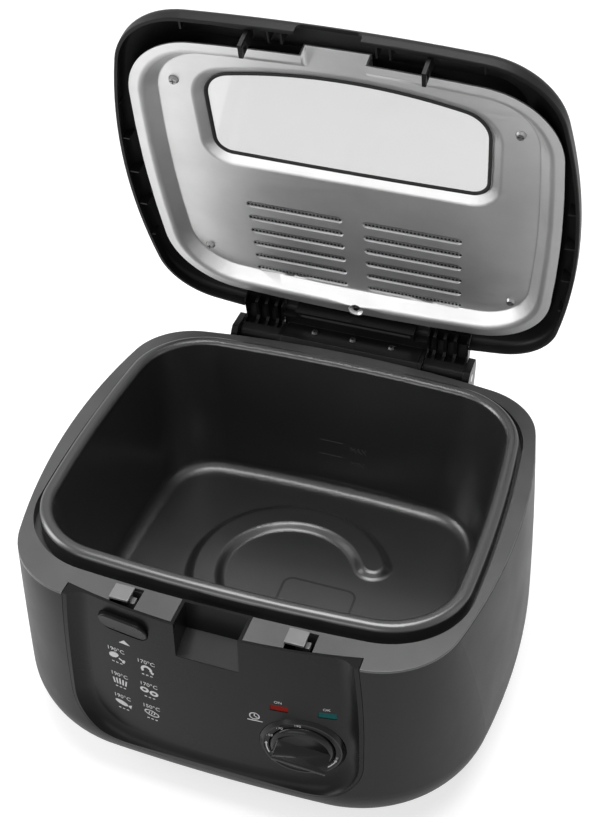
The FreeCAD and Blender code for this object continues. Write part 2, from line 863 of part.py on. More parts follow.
def lid_form(inset, low):
    """The lid's outer form moved inward by inset: a wall, a rounded sloping shoulder and a crown."""
    outline = grown(lid_outline, -inset)
    slope_angle = math.radians(size("lid_slope"))
    run = size("lid_slope_run")
    shoulder = size("lid_shoulder") - inset * (1 / math.cos(slope_angle) - math.tan(slope_angle))
    wall = slab(outline, low, shoulder)
    top = loft([(outline, shoulder), (grown(outline, -run), shoulder + run * math.tan(slope_angle))])
    form = wall.fuse(top)
    form = form.makeFillet(size("lid_edge_round") - inset, level_edges(form, shoulder))
    radius = size("lid_crown_radius")
    middle = (size("lid_back") - size("lid_front")) / 2
    return form.common(Part.makeSphere(radius - inset, Vector(0, middle, size("lid_top") - radius)))


lid_notch_half = size("lid_notch_half")
lid_wall = size("lid_wall")
far = 30.0
lid_notch = block(
    -lid_notch_half,
    lid_notch_half,
    size("lid_notch_back"),
    size("lid_back") + far,
    size("lid_rim") - far,
    size("lid_top") + far,
)
lid_notch_wall = block(
    -lid_notch_half - lid_wall,
    lid_notch_half + lid_wall,
    size("lid_notch_back") - lid_wall,
    size("lid_back") + far,
    size("lid_rim") - far,
    size("lid_top") + far,
)
lid_outer = lid_form(0, size("lid_rim"))
lid_outer = lid_outer.makeFillet(size("lid_lip_round"), level_edges(lid_outer, size("lid_rim")))
lid_solid = lid_outer.cut(lid_notch)
lid_space = lid_form(lid_wall, size("lid_rim") - 1).cut(lid_notch_wall)

glass = Outline(
    size("glass_half_width"),
    -45.0,
    1500.0,
    -size("glass_front"),
    size("glass_arch_radius"),
    -size("glass_back"),
    4000.0,
    22.0,
    13.0,
)
pane = grown(glass, size("glass_lap"))
glass_top = size("glass_level") + size("glass_thickness")


def window_cone(grow):
    """The dished frame of the window: a cone that opens outward from the pane."""
    low = glass_top - 3.0
    high = size("lid_top") + 1.0
    run = size("window_dish") * (high - low)
    return loft([(grown(glass, 3.0 + grow), low), (grown(glass, 3.0 + grow + run), high)])


dish_space = window_cone(0)
dish_wall = window_cone(size("window_dish_wall")).common(lid_solid)
dish_wall = dish_wall.common(slab(grown(lid_outline, 10), glass_top + 0.1, size("lid_top") + 5))
lid_shell = lid_solid.cut(lid_space).fuse(dish_wall).cut(dish_space)

plate_top = size("plate_flat") + size("plate_sheet")
flange_top = size("plate_flange") + size("plate_sheet")
lid_screw_places = [
    Vector(x, y, size("plate_flat")) for x in (-109.5, 109.5) for y in (-76.2, 84.6)
]
DIMPLE_DEPTH = 2.2
lid_screw_places.append(Vector(0, 117.1, size("plate_flange") + DIMPLE_DEPTH))
for place in lid_screw_places:
    foot = place + Z_AXIS * size("plate_sheet")
    boss = rod(4.0, foot, Vector(place.x, place.y, size("lid_top"))).common(lid_solid)
    lid_shell = lid_shell.fuse(boss)
    lid_shell = lid_shell.cut(rod(size("screw_radius") + 0.05, place, place + Z_AXIS * 7))

VENT_ROWS = 6
for number in range(VENT_ROWS):
    vent = rounded_bar(110.0, 3.2, 60, 150, 1.5)
    vent.translate(Vector(0, 44.0 + 9.0 * number, 0))
    lid_shell = lid_shell.cut(vent)

ARM_FIT = 0.2
for arm_gap in both_sides(
    block(
        size("arm_inner") - ARM_FIT,
        size("arm_outer") + ARM_FIT,
        size("lid_notch_back") - 4,
        size("lid_back") + 5,
        size("lid_rim") - 1,
        size("lid_shoulder") + 2.2,
    )
):
    lid_shell = lid_shell.cut(arm_gap)

# Way for the basket's handle through the lid's front wall
handle_way = block(
    -size("pocket_half_width"),
    size("pocket_half_width"),
    -size("lid_front") - 5,
    -size("lid_front") + 8,
    size("lid_rim") - 10,
    size("lid_rim") + size("handle_way_height"),
)
way_corners = [
    edge
    for edge in handle_way.Edges
    if edge.BoundBox.YLength > 5 and edge.BoundBox.ZMin > size("lid_rim")
]
lid_shell = lid_shell.cut(handle_way.makeFillet(4.0, way_corners))

# Stiffening ribs on the inside of the lid's wall
rib_low = size("lid_rim") + 1.2
rib_high = size("lid_shoulder") + 6
ribs = []
for x in (-112.0, -90.0, -36.0, -28.0, 28.0, 36.0, 90.0, 112.0):
    ribs.append(block(x - 0.6, x + 0.6, -size("lid_front"), -size("lid_front") + 12, rib_low, rib_high))
for y in (-62.0, -30.0, 2.0, 34.0, 66.0):
    for sign in (-1, 1):
        outer = sign * size("lid_half_width")
        inner = sign * (size("lid_half_width") - 9)
        ribs.append(block(min(outer, inner), max(outer, inner), y - 0.6, y + 0.6, rib_low, rib_high))
lid_shell = lid_shell.multiFuse([rib.common(lid_solid) for rib in ribs])
piece("lid_shell", lid_shell.removeSplitter(), lid=True)

# Inner plate: flange, sloped border, flat with window collar and slots, and the front channel

plate_edge = Outline(
    size("plate_half_width"),
    0,
    size("pot_side_radius"),
    -size("plate_half_depth"),
    size("pot_front_radius"),
    size("plate_half_depth"),
    size("pot_front_radius"),
    size("plate_corner"),
    size("plate_corner"),
)
border = size("plate_border")
slope = size("plate_slope")
sheet_metal = size("plate_sheet")
hat_foot = grown(plate_edge, -border)
hat_top = grown(plate_edge, -border - slope)
hat = loft([(hat_foot, size("plate_flange")), (hat_top, plate_top)])
hollow = loft(
    [
        (grown(plate_edge, -border - sheet_metal), size("plate_flange") - 0.001),
        (grown(plate_edge, -border - slope - sheet_metal), size("plate_flat")),
    ]
)
flange = slab(plate_edge, size("plate_flange"), flange_top)
channel_half = size("pocket_half_width")
channel_back = -size("plate_half_depth") + border + slope + 2
channel = block(
    -channel_half - sheet_metal,
    channel_half + sheet_metal,
    -size("plate_half_depth"),
    channel_back,
    size("plate_flange"),
    plate_top,
)
channel_space = block(
    -channel_half,
    channel_half,
    -size("plate_half_depth") - 5,
    channel_back + 1,
    size("plate_flange") - 1,
    size("plate_flat"),
)
collar_high = size("glass_level") - 0.1
collar_form = loft([(grown(glass, 7.6), size("plate_flat")), (grown(glass, 0.8), collar_high)])
collar_space = loft([(grown(glass, 6.6), size("plate_flat") - 0.01), (glass, collar_high + 0.01)])
dimple_foot = Vector(0, 117.1, size("plate_flange"))
dimple = Part.makeCone(6.4, 5.4, DIMPLE_DEPTH + sheet_metal, dimple_foot)
dimple_space = Part.makeCone(5.4, 4.4, DIMPLE_DEPTH, dimple_foot)
plate = joined([flange, hat, channel, collar_form, dimple])
plate = plate.cut(hollow).cut(channel_space).cut(collar_space).cut(dimple_space)
slot_length = size("slot_outer") - size("slot_inner")
slot_middle = (size("slot_outer") + size("slot_inner")) / 2
for number in range(6):
    for sign in (-1, 1):
        slot = rounded_bar(slot_length, size("slot_height"), 10, size("plate_flat") - 5, 3.0)
        slot.translate(Vector(sign * slot_middle, size("slot_first") + number * size("slot_pitch"), 0))
        plate = plate.cut(slot)
for place in lid_screw_places:
    plate = plate.cut(rod(size("screw_radius") + 0.3, place - Z_AXIS * 3, place + Z_AXIS * 3))
piece("lid_inner_plate", plate.removeSplitter(), lid=True)

piece("window_glass", slab(pane, size("glass_level"), glass_top), lid=True)
gasket = slab(grown(pane, 1.5), size("glass_level") - 0.1, glass_top + 0.1)
gasket = gasket.cut(slab(pane, size("glass_level") - 1, glass_top + 1))
piece("window_gasket", gasket, lid=True)

mesh_top = plate_top + 0.5
mesh = block(-79, 79, 26, 105, plate_top, mesh_top)
piece("filter_mesh", mesh, lid=True)
pad_block = block(-79, 79, 26, 96, mesh_top, mesh_top + 3.0)
piece("filter_pad", pad_block, lid=True)

lid_screws = []
for place in lid_screw_places:
    head = rod(size("screw_head_radius"), place - Z_AXIS * size("screw_head_height"), place)
    rim_edges = level_edges(head, place.z - size("screw_head_height"))
    head = head.makeFillet(1.2, rim_edges)
    lid_screws.append(head.fuse(rod(size("screw_radius"), place - Z_AXIS * 1, place + Z_AXIS * 6)))
piece("lid_screws", Part.makeCompound(lid_screws), lid=True)

# Hinge: arms of the lid with ribs, the fixed bracket, its pins, springs and screws

axis_y = size("hinge_back")
axis_z = size("hinge_height")
ARM_SKIN = 4.0
arm_low = size("lid_rim") + 1.0
arm_high = size("lid_shoulder") + 2.0
arm_points = [
    (size("lid_notch_back") - 3.6, arm_low),
    (axis_y - 9.8, arm_low),
    (axis_y - 8.4, arm_low - 3),
    (axis_y - size("barrel_radius"), axis_z),
    (axis_y + size("barrel_radius"), axis_z),
    (axis_y + 4.0, arm_low + 2.5),
    (axis_y - 11.0, arm_high),
    (size("lid_notch_back") - 3.6, arm_high),
]
arm_scoop = [
    (size("lid_notch_back") - 4.6, arm_low - 1),
    (axis_y - 4.5, axis_z + 3),
    (axis_y - 4.5, arm_low + 1.5),
    (axis_y - 13.0, arm_high - ARM_SKIN + 1),
    (size("lid_notch_back") - 4.6, arm_high - ARM_SKIN + 1),
]
pin_start = Vector(0, axis_y, axis_z)
arm_body = side_profile(arm_points, size("arm_inner"), size("arm_outer"))
arm_body = arm_body.fuse(
    rod(size("barrel_radius"), pin_start + X_AXIS * size("arm_inner"), pin_start + X_AXIS * size("arm_outer"))
)
rib_places = (59.5, 67.0, 74.5)
bay_edges = [size("arm_inner"), *rib_places, size("arm_outer")]
RIB_HALF = 1.1
for left, right in zip(bay_edges[:-1], bay_edges[1:]):
    bay = side_profile(arm_scoop, left + RIB_HALF, right - RIB_HALF)
    bay = bay.cut(rod(size("barrel_radius"), pin_start, pin_start + X_AXIS * 100))
    arm_body = arm_body.cut(bay)
bore = size("pin_radius") + size("pin_clearance")
arm_body = arm_body.cut(rod(bore, pin_start, pin_start + X_AXIS * 100)).removeSplitter()
piece("lid_hinge_arms", Part.makeCompound(both_sides(arm_body)), lid=True)

CHEEK_GAP = 0.6
CHEEK_WIDTH = 5.0
bracket_top = axis_z + 11.0
BRACKET_ROUND = 14.0


def bracket_slice(x_low, x_high):
    """A length of the hinge bracket, round about the hinge axis, seated on the tub's back."""
    start = Vector(x_low, axis_y, axis_z)
    drum = rod(BRACKET_ROUND, start, start + X_AXIS * (x_high - x_low))
    drum = drum.common(block(x_low, x_high, 0, 400, 0, bracket_top))
    stand = side_profile(
        [
            (120, size("bracket_bottom")),
            (axis_y - 4, size("bracket_bottom")),
            (axis_y + BRACKET_ROUND, size("bracket_bottom") + 20),
            (axis_y + BRACKET_ROUND, axis_z),
            (axis_y - BRACKET_ROUND, axis_z),
            (120, axis_z - 5),
        ],
        x_low,
        x_high,
    )
    return drum.fuse(stand).cut(tub_outer)


def largest_solid(shape):
    """The biggest solid of a cut that left crumbs."""
    return max(shape.Solids, key=lambda solid: solid.Volume)


middle_bracket = largest_solid(bracket_slice(-size("bracket_half_width"), size("bracket_half_width")))
cheek_low = size("arm_outer") + CHEEK_GAP
cheek = largest_solid(bracket_slice(cheek_low, cheek_low + CHEEK_WIDTH))
tie = side_profile(
    [
        (120, size("bracket_bottom")),
        (axis_y - 4, size("bracket_bottom")),
        (axis_y, size("bracket_bottom") + 8),
        (axis_y, size("bracket_bottom") + 14),
        (120, size("bracket_bottom") + 14),
    ],
    -cheek_low - CHEEK_WIDTH,
    cheek_low + CHEEK_WIDTH,
).cut(tub_outer)
upstand = block(
    -size("bracket_half_width"),
    size("bracket_half_width"),
    size("upstand_front"),
    axis_y + BRACKET_ROUND,
    axis_z,
    size("upstand_top"),
)
bracket = joined([middle_bracket, *both_sides(cheek), largest_solid(tie), upstand])
SPRING_BORE = 6.0
SPRING_START = 30.0
bracket = bracket.cut(rod(size("pin_radius"), pin_start - X_AXIS * 120, pin_start + X_AXIS * 120))
for spring_bore in both_sides(
    rod(SPRING_BORE, pin_start + X_AXIS * SPRING_START, pin_start + X_AXIS * size("bracket_half_width"))
):
    bracket = bracket.cut(spring_bore)
hinge_screw_places = [Vector(x, axis_y + 1.5, bracket_top) for x in (-29.0, 0.0, 29.0)]
for place in hinge_screw_places:
    bracket = bracket.cut(rod(size("screw_radius"), place, place - Z_AXIS * 6))
piece("hinge_bracket", bracket.removeSplitter())

pin_end = size("arm_outer") + CHEEK_GAP + CHEEK_WIDTH
pin = rod(size("pin_radius"), pin_start + X_AXIS * 20, pin_start + X_AXIS * pin_end)
piece("hinge_pins", Part.makeCompound(both_sides(pin)))
spring = rod(SPRING_BORE - 0.5, pin_start + X_AXIS * SPRING_START, pin_start + X_AXIS * 50)
spring = spring.cut(rod(size("pin_radius") + 0.2, pin_start, pin_start + X_AXIS * 100))
piece("hinge_springs", Part.makeCompound(both_sides(spring)))
hinge_screws = []
for place in hinge_screw_places:
    head = rod(size("screw_head_radius"), place, place + Z_AXIS * 1.6)
    hinge_screws.append(head.fuse(rod(size("screw_radius"), place - Z_AXIS * 5, place + Z_AXIS * 1)))
piece("hinge_screws", Part.makeCompound(hinge_screws))

# Release button, latch bar with two hooks, and the lid's strikers

BUTTON_TOP_PROUD = 4.6
BUTTON_FOOT_PROUD = 0.4
button_back = -139.6
button_slope = math.degrees(math.atan((BUTTON_TOP_PROUD - BUTTON_FOOT_PROUD) / size("button_height")))
button_proud = (BUTTON_TOP_PROUD + BUTTON_FOOT_PROUD) / 2
button_face = panel_frame(size("button_x"), size("button_z")).multiply(
    Placement(Vector(0, 0, button_proud), Rotation(X_AXIS, button_slope))
)
trim = Part.makeBox(200, 200, 60, Vector(-100, -100, 0))
trim.Placement = button_face
button_cap = button_column(0, PANEL_FAR_FRONT, button_back).cut(trim)


def on_button_face(edge):
    """True for an edge that lies in the button's sloping front."""
    ends = [edge.valueAt(edge.FirstParameter), edge.valueAt(edge.LastParameter)]
    return all(abs(button_face.inverse().multVec(end).z) < 0.01 for end in ends)


button_cap = button_cap.makeFillet(1.0, [edge for edge in button_cap.Edges if on_button_face(edge)])

# The wedge plane shared by button and latch: button travel in turns into latch travel sideways
wedge_normal = Vector(-size("button_travel"), size("latch_travel"), 0).normalize()
wedge_point = Vector(-46.0, -134.5, 0)
WEDGE_GAP = 0.15


def wedge_half(offset):
    """Everything beyond the wedge plane, moved along its normal."""
    half = Part.makeBox(400, 400, 400, Vector(-200, -200, 0))
    half.Placement = Placement(wedge_point + wedge_normal * offset, Rotation(Z_AXIS, wedge_normal))
    return half


button_cap = button_cap.cut(block(-60.5, -40.5, -142.9, button_back + 1, 146.5, 161.0))
stem = block(-49.0, -41.4, -144.2, -130.0, 147.5, 155.5).cut(wedge_half(-WEDGE_GAP))
button = joined([button_cap, stem])
piece("release_button", button)

hook_low = 124.0
bar_high = 132.0
bar_front = -136.4
bar_back = -131.2
HEAD_LOW = 168.6
NOSE_LOW = 160.5
NOSE_HIGH = 164.5
hook_lefts = (-size("window_left"), size("window_right"))
hooks = []
for left in hook_lefts:
    hooks.append(block(left + 5.0, left + 10.8, bar_front, bar_back, hook_low, HEAD_LOW))
    head = block(left - 0.6, left + 11.4, -140.4, -129.0, HEAD_LOW, size("hook_top"))
    hooks.append(head.makeFillet(0.4, level_edges(head, size("hook_top"))))
    hooks.append(block(left + 10.0, left + 13.4, bar_front, bar_back, NOSE_LOW, NOSE_HIGH))
ramp = block(-55.0, -41.0, -138.6, -129.2, 147.5, 155.5).common(wedge_half(WEDGE_GAP))
bar = block(hook_lefts[0] + 5.0, hook_lefts[1] + 10.8, bar_front, bar_back, hook_low, bar_high)
latch = joined([bar, *hooks, ramp])
piece("latch_bar", latch)

guides = []
for x in (-38.0, 38.0):
    guide = block(x - 5, x + 5, -150.0, -128.0, hook_low - 3, bar_high + 3)
    guide = guide.cut(block(x - 6, x + 6, -136.7, -130.9, hook_low - 0.3, bar_high + 0.3))
    guides.append(guide.common(panel_cylinder(size("panel_wall"))))
piece("latch_guides", Part.makeCompound(guides))

# Each striker hangs from the lid and takes the nose of a hook in its opening
NOSE_PLAY = 0.5
strikers = []
for left in hook_lefts:
    fin = block(left + 12.0, left + 14.4, -139.5, -129.8, 157.5, size("lid_shoulder") - 1.5)
    nose_room = block(
        left + 11,
        left + 16,
        bar_front - NOSE_PLAY,
        bar_back + NOSE_PLAY,
        NOSE_LOW - NOSE_PLAY,
        NOSE_HIGH + NOSE_PLAY,
    )
    back_plate = block(
        left - 6.5,
        left + 14.5,
        -146.0,
        -139.2,
        size("lid_rim") + 1.5,
        size("lid_shoulder") - 1.5,
    )
    fin = fin.cut(nose_room)
    strikers.append(largest_solid(fin.fuse(back_plate).removeSplitter().cut(lid_solid.cut(lid_space))))
piece("lid_strikers", Part.makeCompound(strikers), lid=True)

# Knob, its shaft, the dial plate and the thermostat behind it

knob_body = doc.addObject("PartDesign::Body", "temperature_knob")
knob_sketch = knob_body.newObject("Sketcher::SketchObject", "knob_outline")
attach(knob_sketch, knob_body, "XY_Plane")
circle(knob_sketch, "knob_radius")
knob_disc = pad(knob_body, knob_sketch, "knob_disc", "Sizes.knob_base")
rounded(
    knob_body,
    knob_disc,
    "knob_dome",
    edge_names(knob_disc.Shape, lambda edge: edge.BoundBox.ZMin > size("knob_base") - 0.01),
    size("knob_base") * 0.75,
)
grip_sketch = knob_body.newObject("Sketcher::SketchObject", "grip_outline")
attach(grip_sketch, knob_body, "YZ_Plane")
wedge(grip_sketch, "knob_grip_root", "knob_grip_tip", "knob_grip")
grip = pad(knob_body, grip_sketch, "knob_grip_bar", "Sizes.knob_grip_length")
grip.Midplane = True
doc.recompute()
rounded(
    knob_body,
    grip,
    "grip_round",
    edge_names(grip.Shape, lambda edge: edge.BoundBox.ZMin > size("knob_grip") - 0.01),
    1.0,
)
bore_sketch = knob_body.newObject("Sketcher::SketchObject", "shaft_bore")
attach(bore_sketch, knob_body, "XY_Plane")
circle(bore_sketch, "shaft_radius")
shaft_bore = knob_body.newObject("PartDesign::Pocket", "shaft_pocket")
shaft_bore.Profile = bore_sketch
shaft_bore.setExpression("Length", "Sizes.knob_grip - 4")
shaft_bore.Reversed = True
doc.recompute()

KNOB_LIFT = -0.4
knob_frame = panel_frame(size("knob_x"), size("knob_z"), size("knob_turned"))


def about_knob(shape, lift=0.0):
    """A copy of a shape drawn about the local Z axis, put on the knob's axis."""
    placed = shape.copy()
    lifted = knob_frame.multiply(Placement(Vector(0, 0, lift), Rotation()))
    placed.Placement = lifted.multiply(placed.Placement)
    return placed


knob_body.Placement = knob_frame.multiply(Placement(Vector(0, 0, KNOB_LIFT), Rotation()))
piece("temperature_knob", knob_body)
SHAFT_LOW = -20.0
shaft = Part.makeCylinder(size("shaft_radius"), size("knob_grip") - 4 - SHAFT_LOW, Vector(0, 0, SHAFT_LOW))
piece("thermostat_shaft", about_knob(shaft, KNOB_LIFT))

bezel_rise = size("bezel_rise")
bezel_points = [
    (4.0, -2.5),
    (size("bezel_radius"), -2.5),
    (size("bezel_radius"), 0.3),
    (size("bezel_inner") + 1.2, bezel_rise),
    (size("bezel_inner") + 0.2, bezel_rise),
    (size("bezel_inner") - 0.4, bezel_rise - 0.8),
    (size("knob_radius") + 0.4, -1.0),
    (4.0, -1.0),
]
bezel_corners = [Vector(r, 0, z) for r, z in bezel_points]
bezel = Part.Face(Part.makePolygon(bezel_corners + bezel_corners[:1])).revolve(Vector(0, 0, 0), Z_AXIS, 360)
piece("knob_bezel", about_knob(bezel))

THERMOSTAT_HALF = 15.0
thermostat = Part.makeBox(
    2 * THERMOSTAT_HALF, 2 * THERMOSTAT_HALF, 15, Vector(-THERMOSTAT_HALF, -THERMOSTAT_HALF, -22)
)
thermostat = thermostat.fuse(Part.makeCylinder(5.0, 4.5, Vector(0, 0, -7)))
shaft_hole = size("shaft_radius") + size("shaft_clearance")
thermostat = thermostat.cut(Part.makeCylinder(shaft_hole, 20, Vector(0, 0, -20.8)))
piece("thermostat_body", about_knob(thermostat.removeSplitter()))

for label, lens_x in (("power_lens", size("power_lens_x")), ("ready_lens", size("ready_lens_x"))):
    lens_body = doc.addObject("PartDesign::Body", label)
    lens_sketch = lens_body.newObject("Sketcher::SketchObject", f"{label}_outline")
    attach(lens_sketch, lens_body, "XY_Plane", 0.3 - size("lens_depth"))
    rectangle(lens_sketch, "lens_length", "lens_width")
    lens_pad = pad(lens_body, lens_sketch, f"{label}_pad", "Sizes.lens_depth")
    rounded(
        lens_body,
        lens_pad,
        f"{label}_round",
        edge_names(lens_pad.Shape, lambda edge: edge.BoundBox.ZLength > 1),
        LENS_ROUND,
    )
    lens_body.Placement = panel_frame(lens_x, size("lens_height"))
    piece(label, lens_body)
lamps = []
for lens_x in (size("power_lens_x"), size("ready_lens_x")):
    lamp = Part.makeCylinder(3.0, 13, Vector(0, 0, 0.3 - size("lens_depth") - 13))
    lamp.Placement = panel_frame(lens_x, size("lens_height"))
    lamps.append(lamp)
piece("neon_lamps", Part.makeCompound(lamps))

# Heating element under the floor, reflector and the small electrics

element_start = emboss_centre + Vector(size("element_radius"), 0, 0)
half = size("element_width") / 2
flat = [element_start + Vector(-half, 0, pot_bottom), element_start + Vector(half, 0, pot_bottom)]
belly = element_start + Vector(0, 0, pot_bottom - size("element_width"))
element = Part.Face(Part.Wire([Part.makeLine(*flat), Part.Arc(flat[1], belly, flat[0]).toShape()]))
element = element.revolve(emboss_centre, Z_AXIS, size("emboss_sweep"))
element.rotate(emboss_centre, Z_AXIS, size("emboss_start"))
piece("heating_element", element)
terminals = []
for angle in (size("emboss_start") - 5, size("emboss_start") + size("emboss_sweep") + 5):
    turn = math.radians(angle)
    foot = emboss_centre + Vector(math.cos(turn), math.sin(turn), 0) * size("element_radius")
    foot.z = pot_bottom
    terminals.append(rod(4.5, foot - Z_AXIS * 9, foot).fuse(rod(1.6, foot - Z_AXIS * 14, foot)))
piece("element_terminals", Part.makeCompound(terminals))

shield_outline = grown(floor, -10)
shield_low = size("shield_height")
shield = loft(
    [(grown(shield_outline, -6), shield_low), (shield_outline, shield_low + size("shield_rim"))]
).cut(
    loft(
        [
            (grown(shield_outline, -6.8), shield_low + 0.8),
            (grown(shield_outline, -0.8), shield_low + size("shield_rim") + 0.01),
        ]
    )
)
bolt_foot = Vector(0, size("emboss_back"), shield_low)
shield = shield.cut(rod(3.3, bolt_foot - Z_AXIS * 5, bolt_foot + Z_AXIS * 5))
for place in terminals:
    centre = place.BoundBox.Center
    shield = shield.cut(rod(6.0, Vector(centre.x, centre.y, 40), Vector(centre.x, centre.y, 60)))
piece("heat_shield", shield)
bolt = rod(3.0, bolt_foot - Z_AXIS * 1, Vector(0, size("emboss_back"), pot_bottom))
bolt = bolt.fuse(rod(6.0, bolt_foot - Z_AXIS * 4, bolt_foot))
bolt = bolt.fuse(rod(6.0, bolt_foot + Z_AXIS * 0.8, bolt_foot + Z_AXIS * 4))
piece("shield_bolt", bolt.removeSplitter())

bulb_low = pot_bottom - 3.0
piece("thermostat_sensor", rod(2.98, Vector(-30, -17, bulb_low), Vector(30, -17, bulb_low)))
piece("thermal_fuse", block(-11, 11, 26, 33, pot_bottom - 6, pot_bottom))
terminal_block = block(-24, 24, 76, 92, base_top, base_top + 14)
for number in range(3):
    x = -15 + 15 * number
    terminal_block = terminal_block.cut(rod(3.0, Vector(x, 84, base_top + 6), Vector(x, 84, base_top + 20)))
piece("terminal_block", terminal_block)

# Inlet of the mains cord: a flanged bush in the tub's back

wall_back = size("foot_back")
inlet = Vector(0, 0, size("grommet_height"))
bush = rod(size("grommet_radius"), inlet + Y_AXIS * 130, inlet + Y_AXIS * 146)
flange_outer = rod(11.0, inlet + Y_AXIS * (wall_back - 3), inlet + Y_AXIS * 143)
bush = bush.fuse(flange_outer.cut(tub_outer))
bush = bush.cut(rod(3.6, Vector(0, 100, size("grommet_height")), Vector(0, 170, size("grommet_height"))))
piece("cord_grommet", bush.removeSplitter())

doc.recompute()
os.makedirs("parts", exist_ok=True)
for node in pieces:
    if node.Shape.isNull() or not node.Shape.isValid():
        raise ValueError(f"{node.Label} has no valid shape")
for item in doc.Objects:
    if "Invalid" in item.State or "Error" in item.State:
        raise ValueError(f"{item.Label} did not recompute")
for node in pieces:
    node.Shape.exportStep(f"parts/{node.Label}.step")
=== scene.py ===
import math

import bmesh
import bpy
from bpy.props import FloatProperty, FloatVectorProperty, IntProperty, PointerProperty
from mathutils import Matrix, Vector
from mathutils.bvhtree import BVHTree


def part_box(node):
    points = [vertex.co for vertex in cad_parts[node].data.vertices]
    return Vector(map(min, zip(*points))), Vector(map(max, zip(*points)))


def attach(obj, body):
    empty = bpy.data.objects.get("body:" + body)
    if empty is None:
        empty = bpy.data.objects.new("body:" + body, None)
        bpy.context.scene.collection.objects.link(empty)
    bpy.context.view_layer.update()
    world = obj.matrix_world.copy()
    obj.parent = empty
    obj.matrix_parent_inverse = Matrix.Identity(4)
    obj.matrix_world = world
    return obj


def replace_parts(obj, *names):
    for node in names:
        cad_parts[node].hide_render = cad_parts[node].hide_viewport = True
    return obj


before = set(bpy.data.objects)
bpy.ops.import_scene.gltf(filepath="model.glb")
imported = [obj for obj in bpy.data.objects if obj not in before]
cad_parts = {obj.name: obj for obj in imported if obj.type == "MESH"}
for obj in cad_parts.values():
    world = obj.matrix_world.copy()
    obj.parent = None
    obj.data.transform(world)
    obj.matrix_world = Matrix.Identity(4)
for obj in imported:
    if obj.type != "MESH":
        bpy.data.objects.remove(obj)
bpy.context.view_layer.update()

bl_info = {
    "name": "Deep fryer looks",
    "version": (1, 0, 0),
    "blender": (4, 5, 0),
    "location": "View3D > Sidebar > Fryer",
    "description": "Finishes, prints and small hardware for the deep fryer, and the stage it is shown on",
    "category": "Object",
}

# Where the CAD has the pot's middle, the knob, the hinge and the open lid.
PLAN_SHIFT = -0.00678
KNOB_CENTRE = Vector((0.057, -0.144741, 0.0793))
KNOB_AXIS = Vector((0.13562, -0.98900, -0.05934)).normalized()
KNOB_RIGHT = Vector((0.99071, 0.13586, 0.0)).normalized()
KNOB_UP = KNOB_AXIS.cross(KNOB_RIGHT).normalized()
HINGE = Vector((0.0, 0.14232, 0.1593))
LID_OPEN = math.radians(70.4)
LID_TURN = Matrix.Rotation(-LID_OPEN, 4, "X")
UPWARD = Vector((0.0, 0.0, 1.0))
DOWNWARD = Vector((0.0, 0.0, -1.0))
BACKWARD = Vector((0.0, 1.0, 0.0))
LID_UP = LID_TURN.to_3x3() @ UPWARD

# How meshes are read and shaded: a ray's start off a face, the least share of a normal along an axis,
# the distance at which corners are one, and the angle above which an edge stays sharp.
RAY_START = 0.05
FACING = 0.4
MERGE_REACH = 2e-6
SHARP_ANGLE = math.radians(35.0)

# Counts of facets, and a figure's type size for a height of one.
BRACKET_SIDES = 64
SHANK_SIDES = 16
FIGURE_BODY = 1.4


def length_value(name, description, default):
    """A property that holds a length in metres."""
    return FloatProperty(name=name, description=description, default=default, unit="LENGTH")


def colour_value(name, description, default):
    """A property that holds a colour."""
    return FloatVectorProperty(name=name, description=description, default=default, subtype="COLOR")


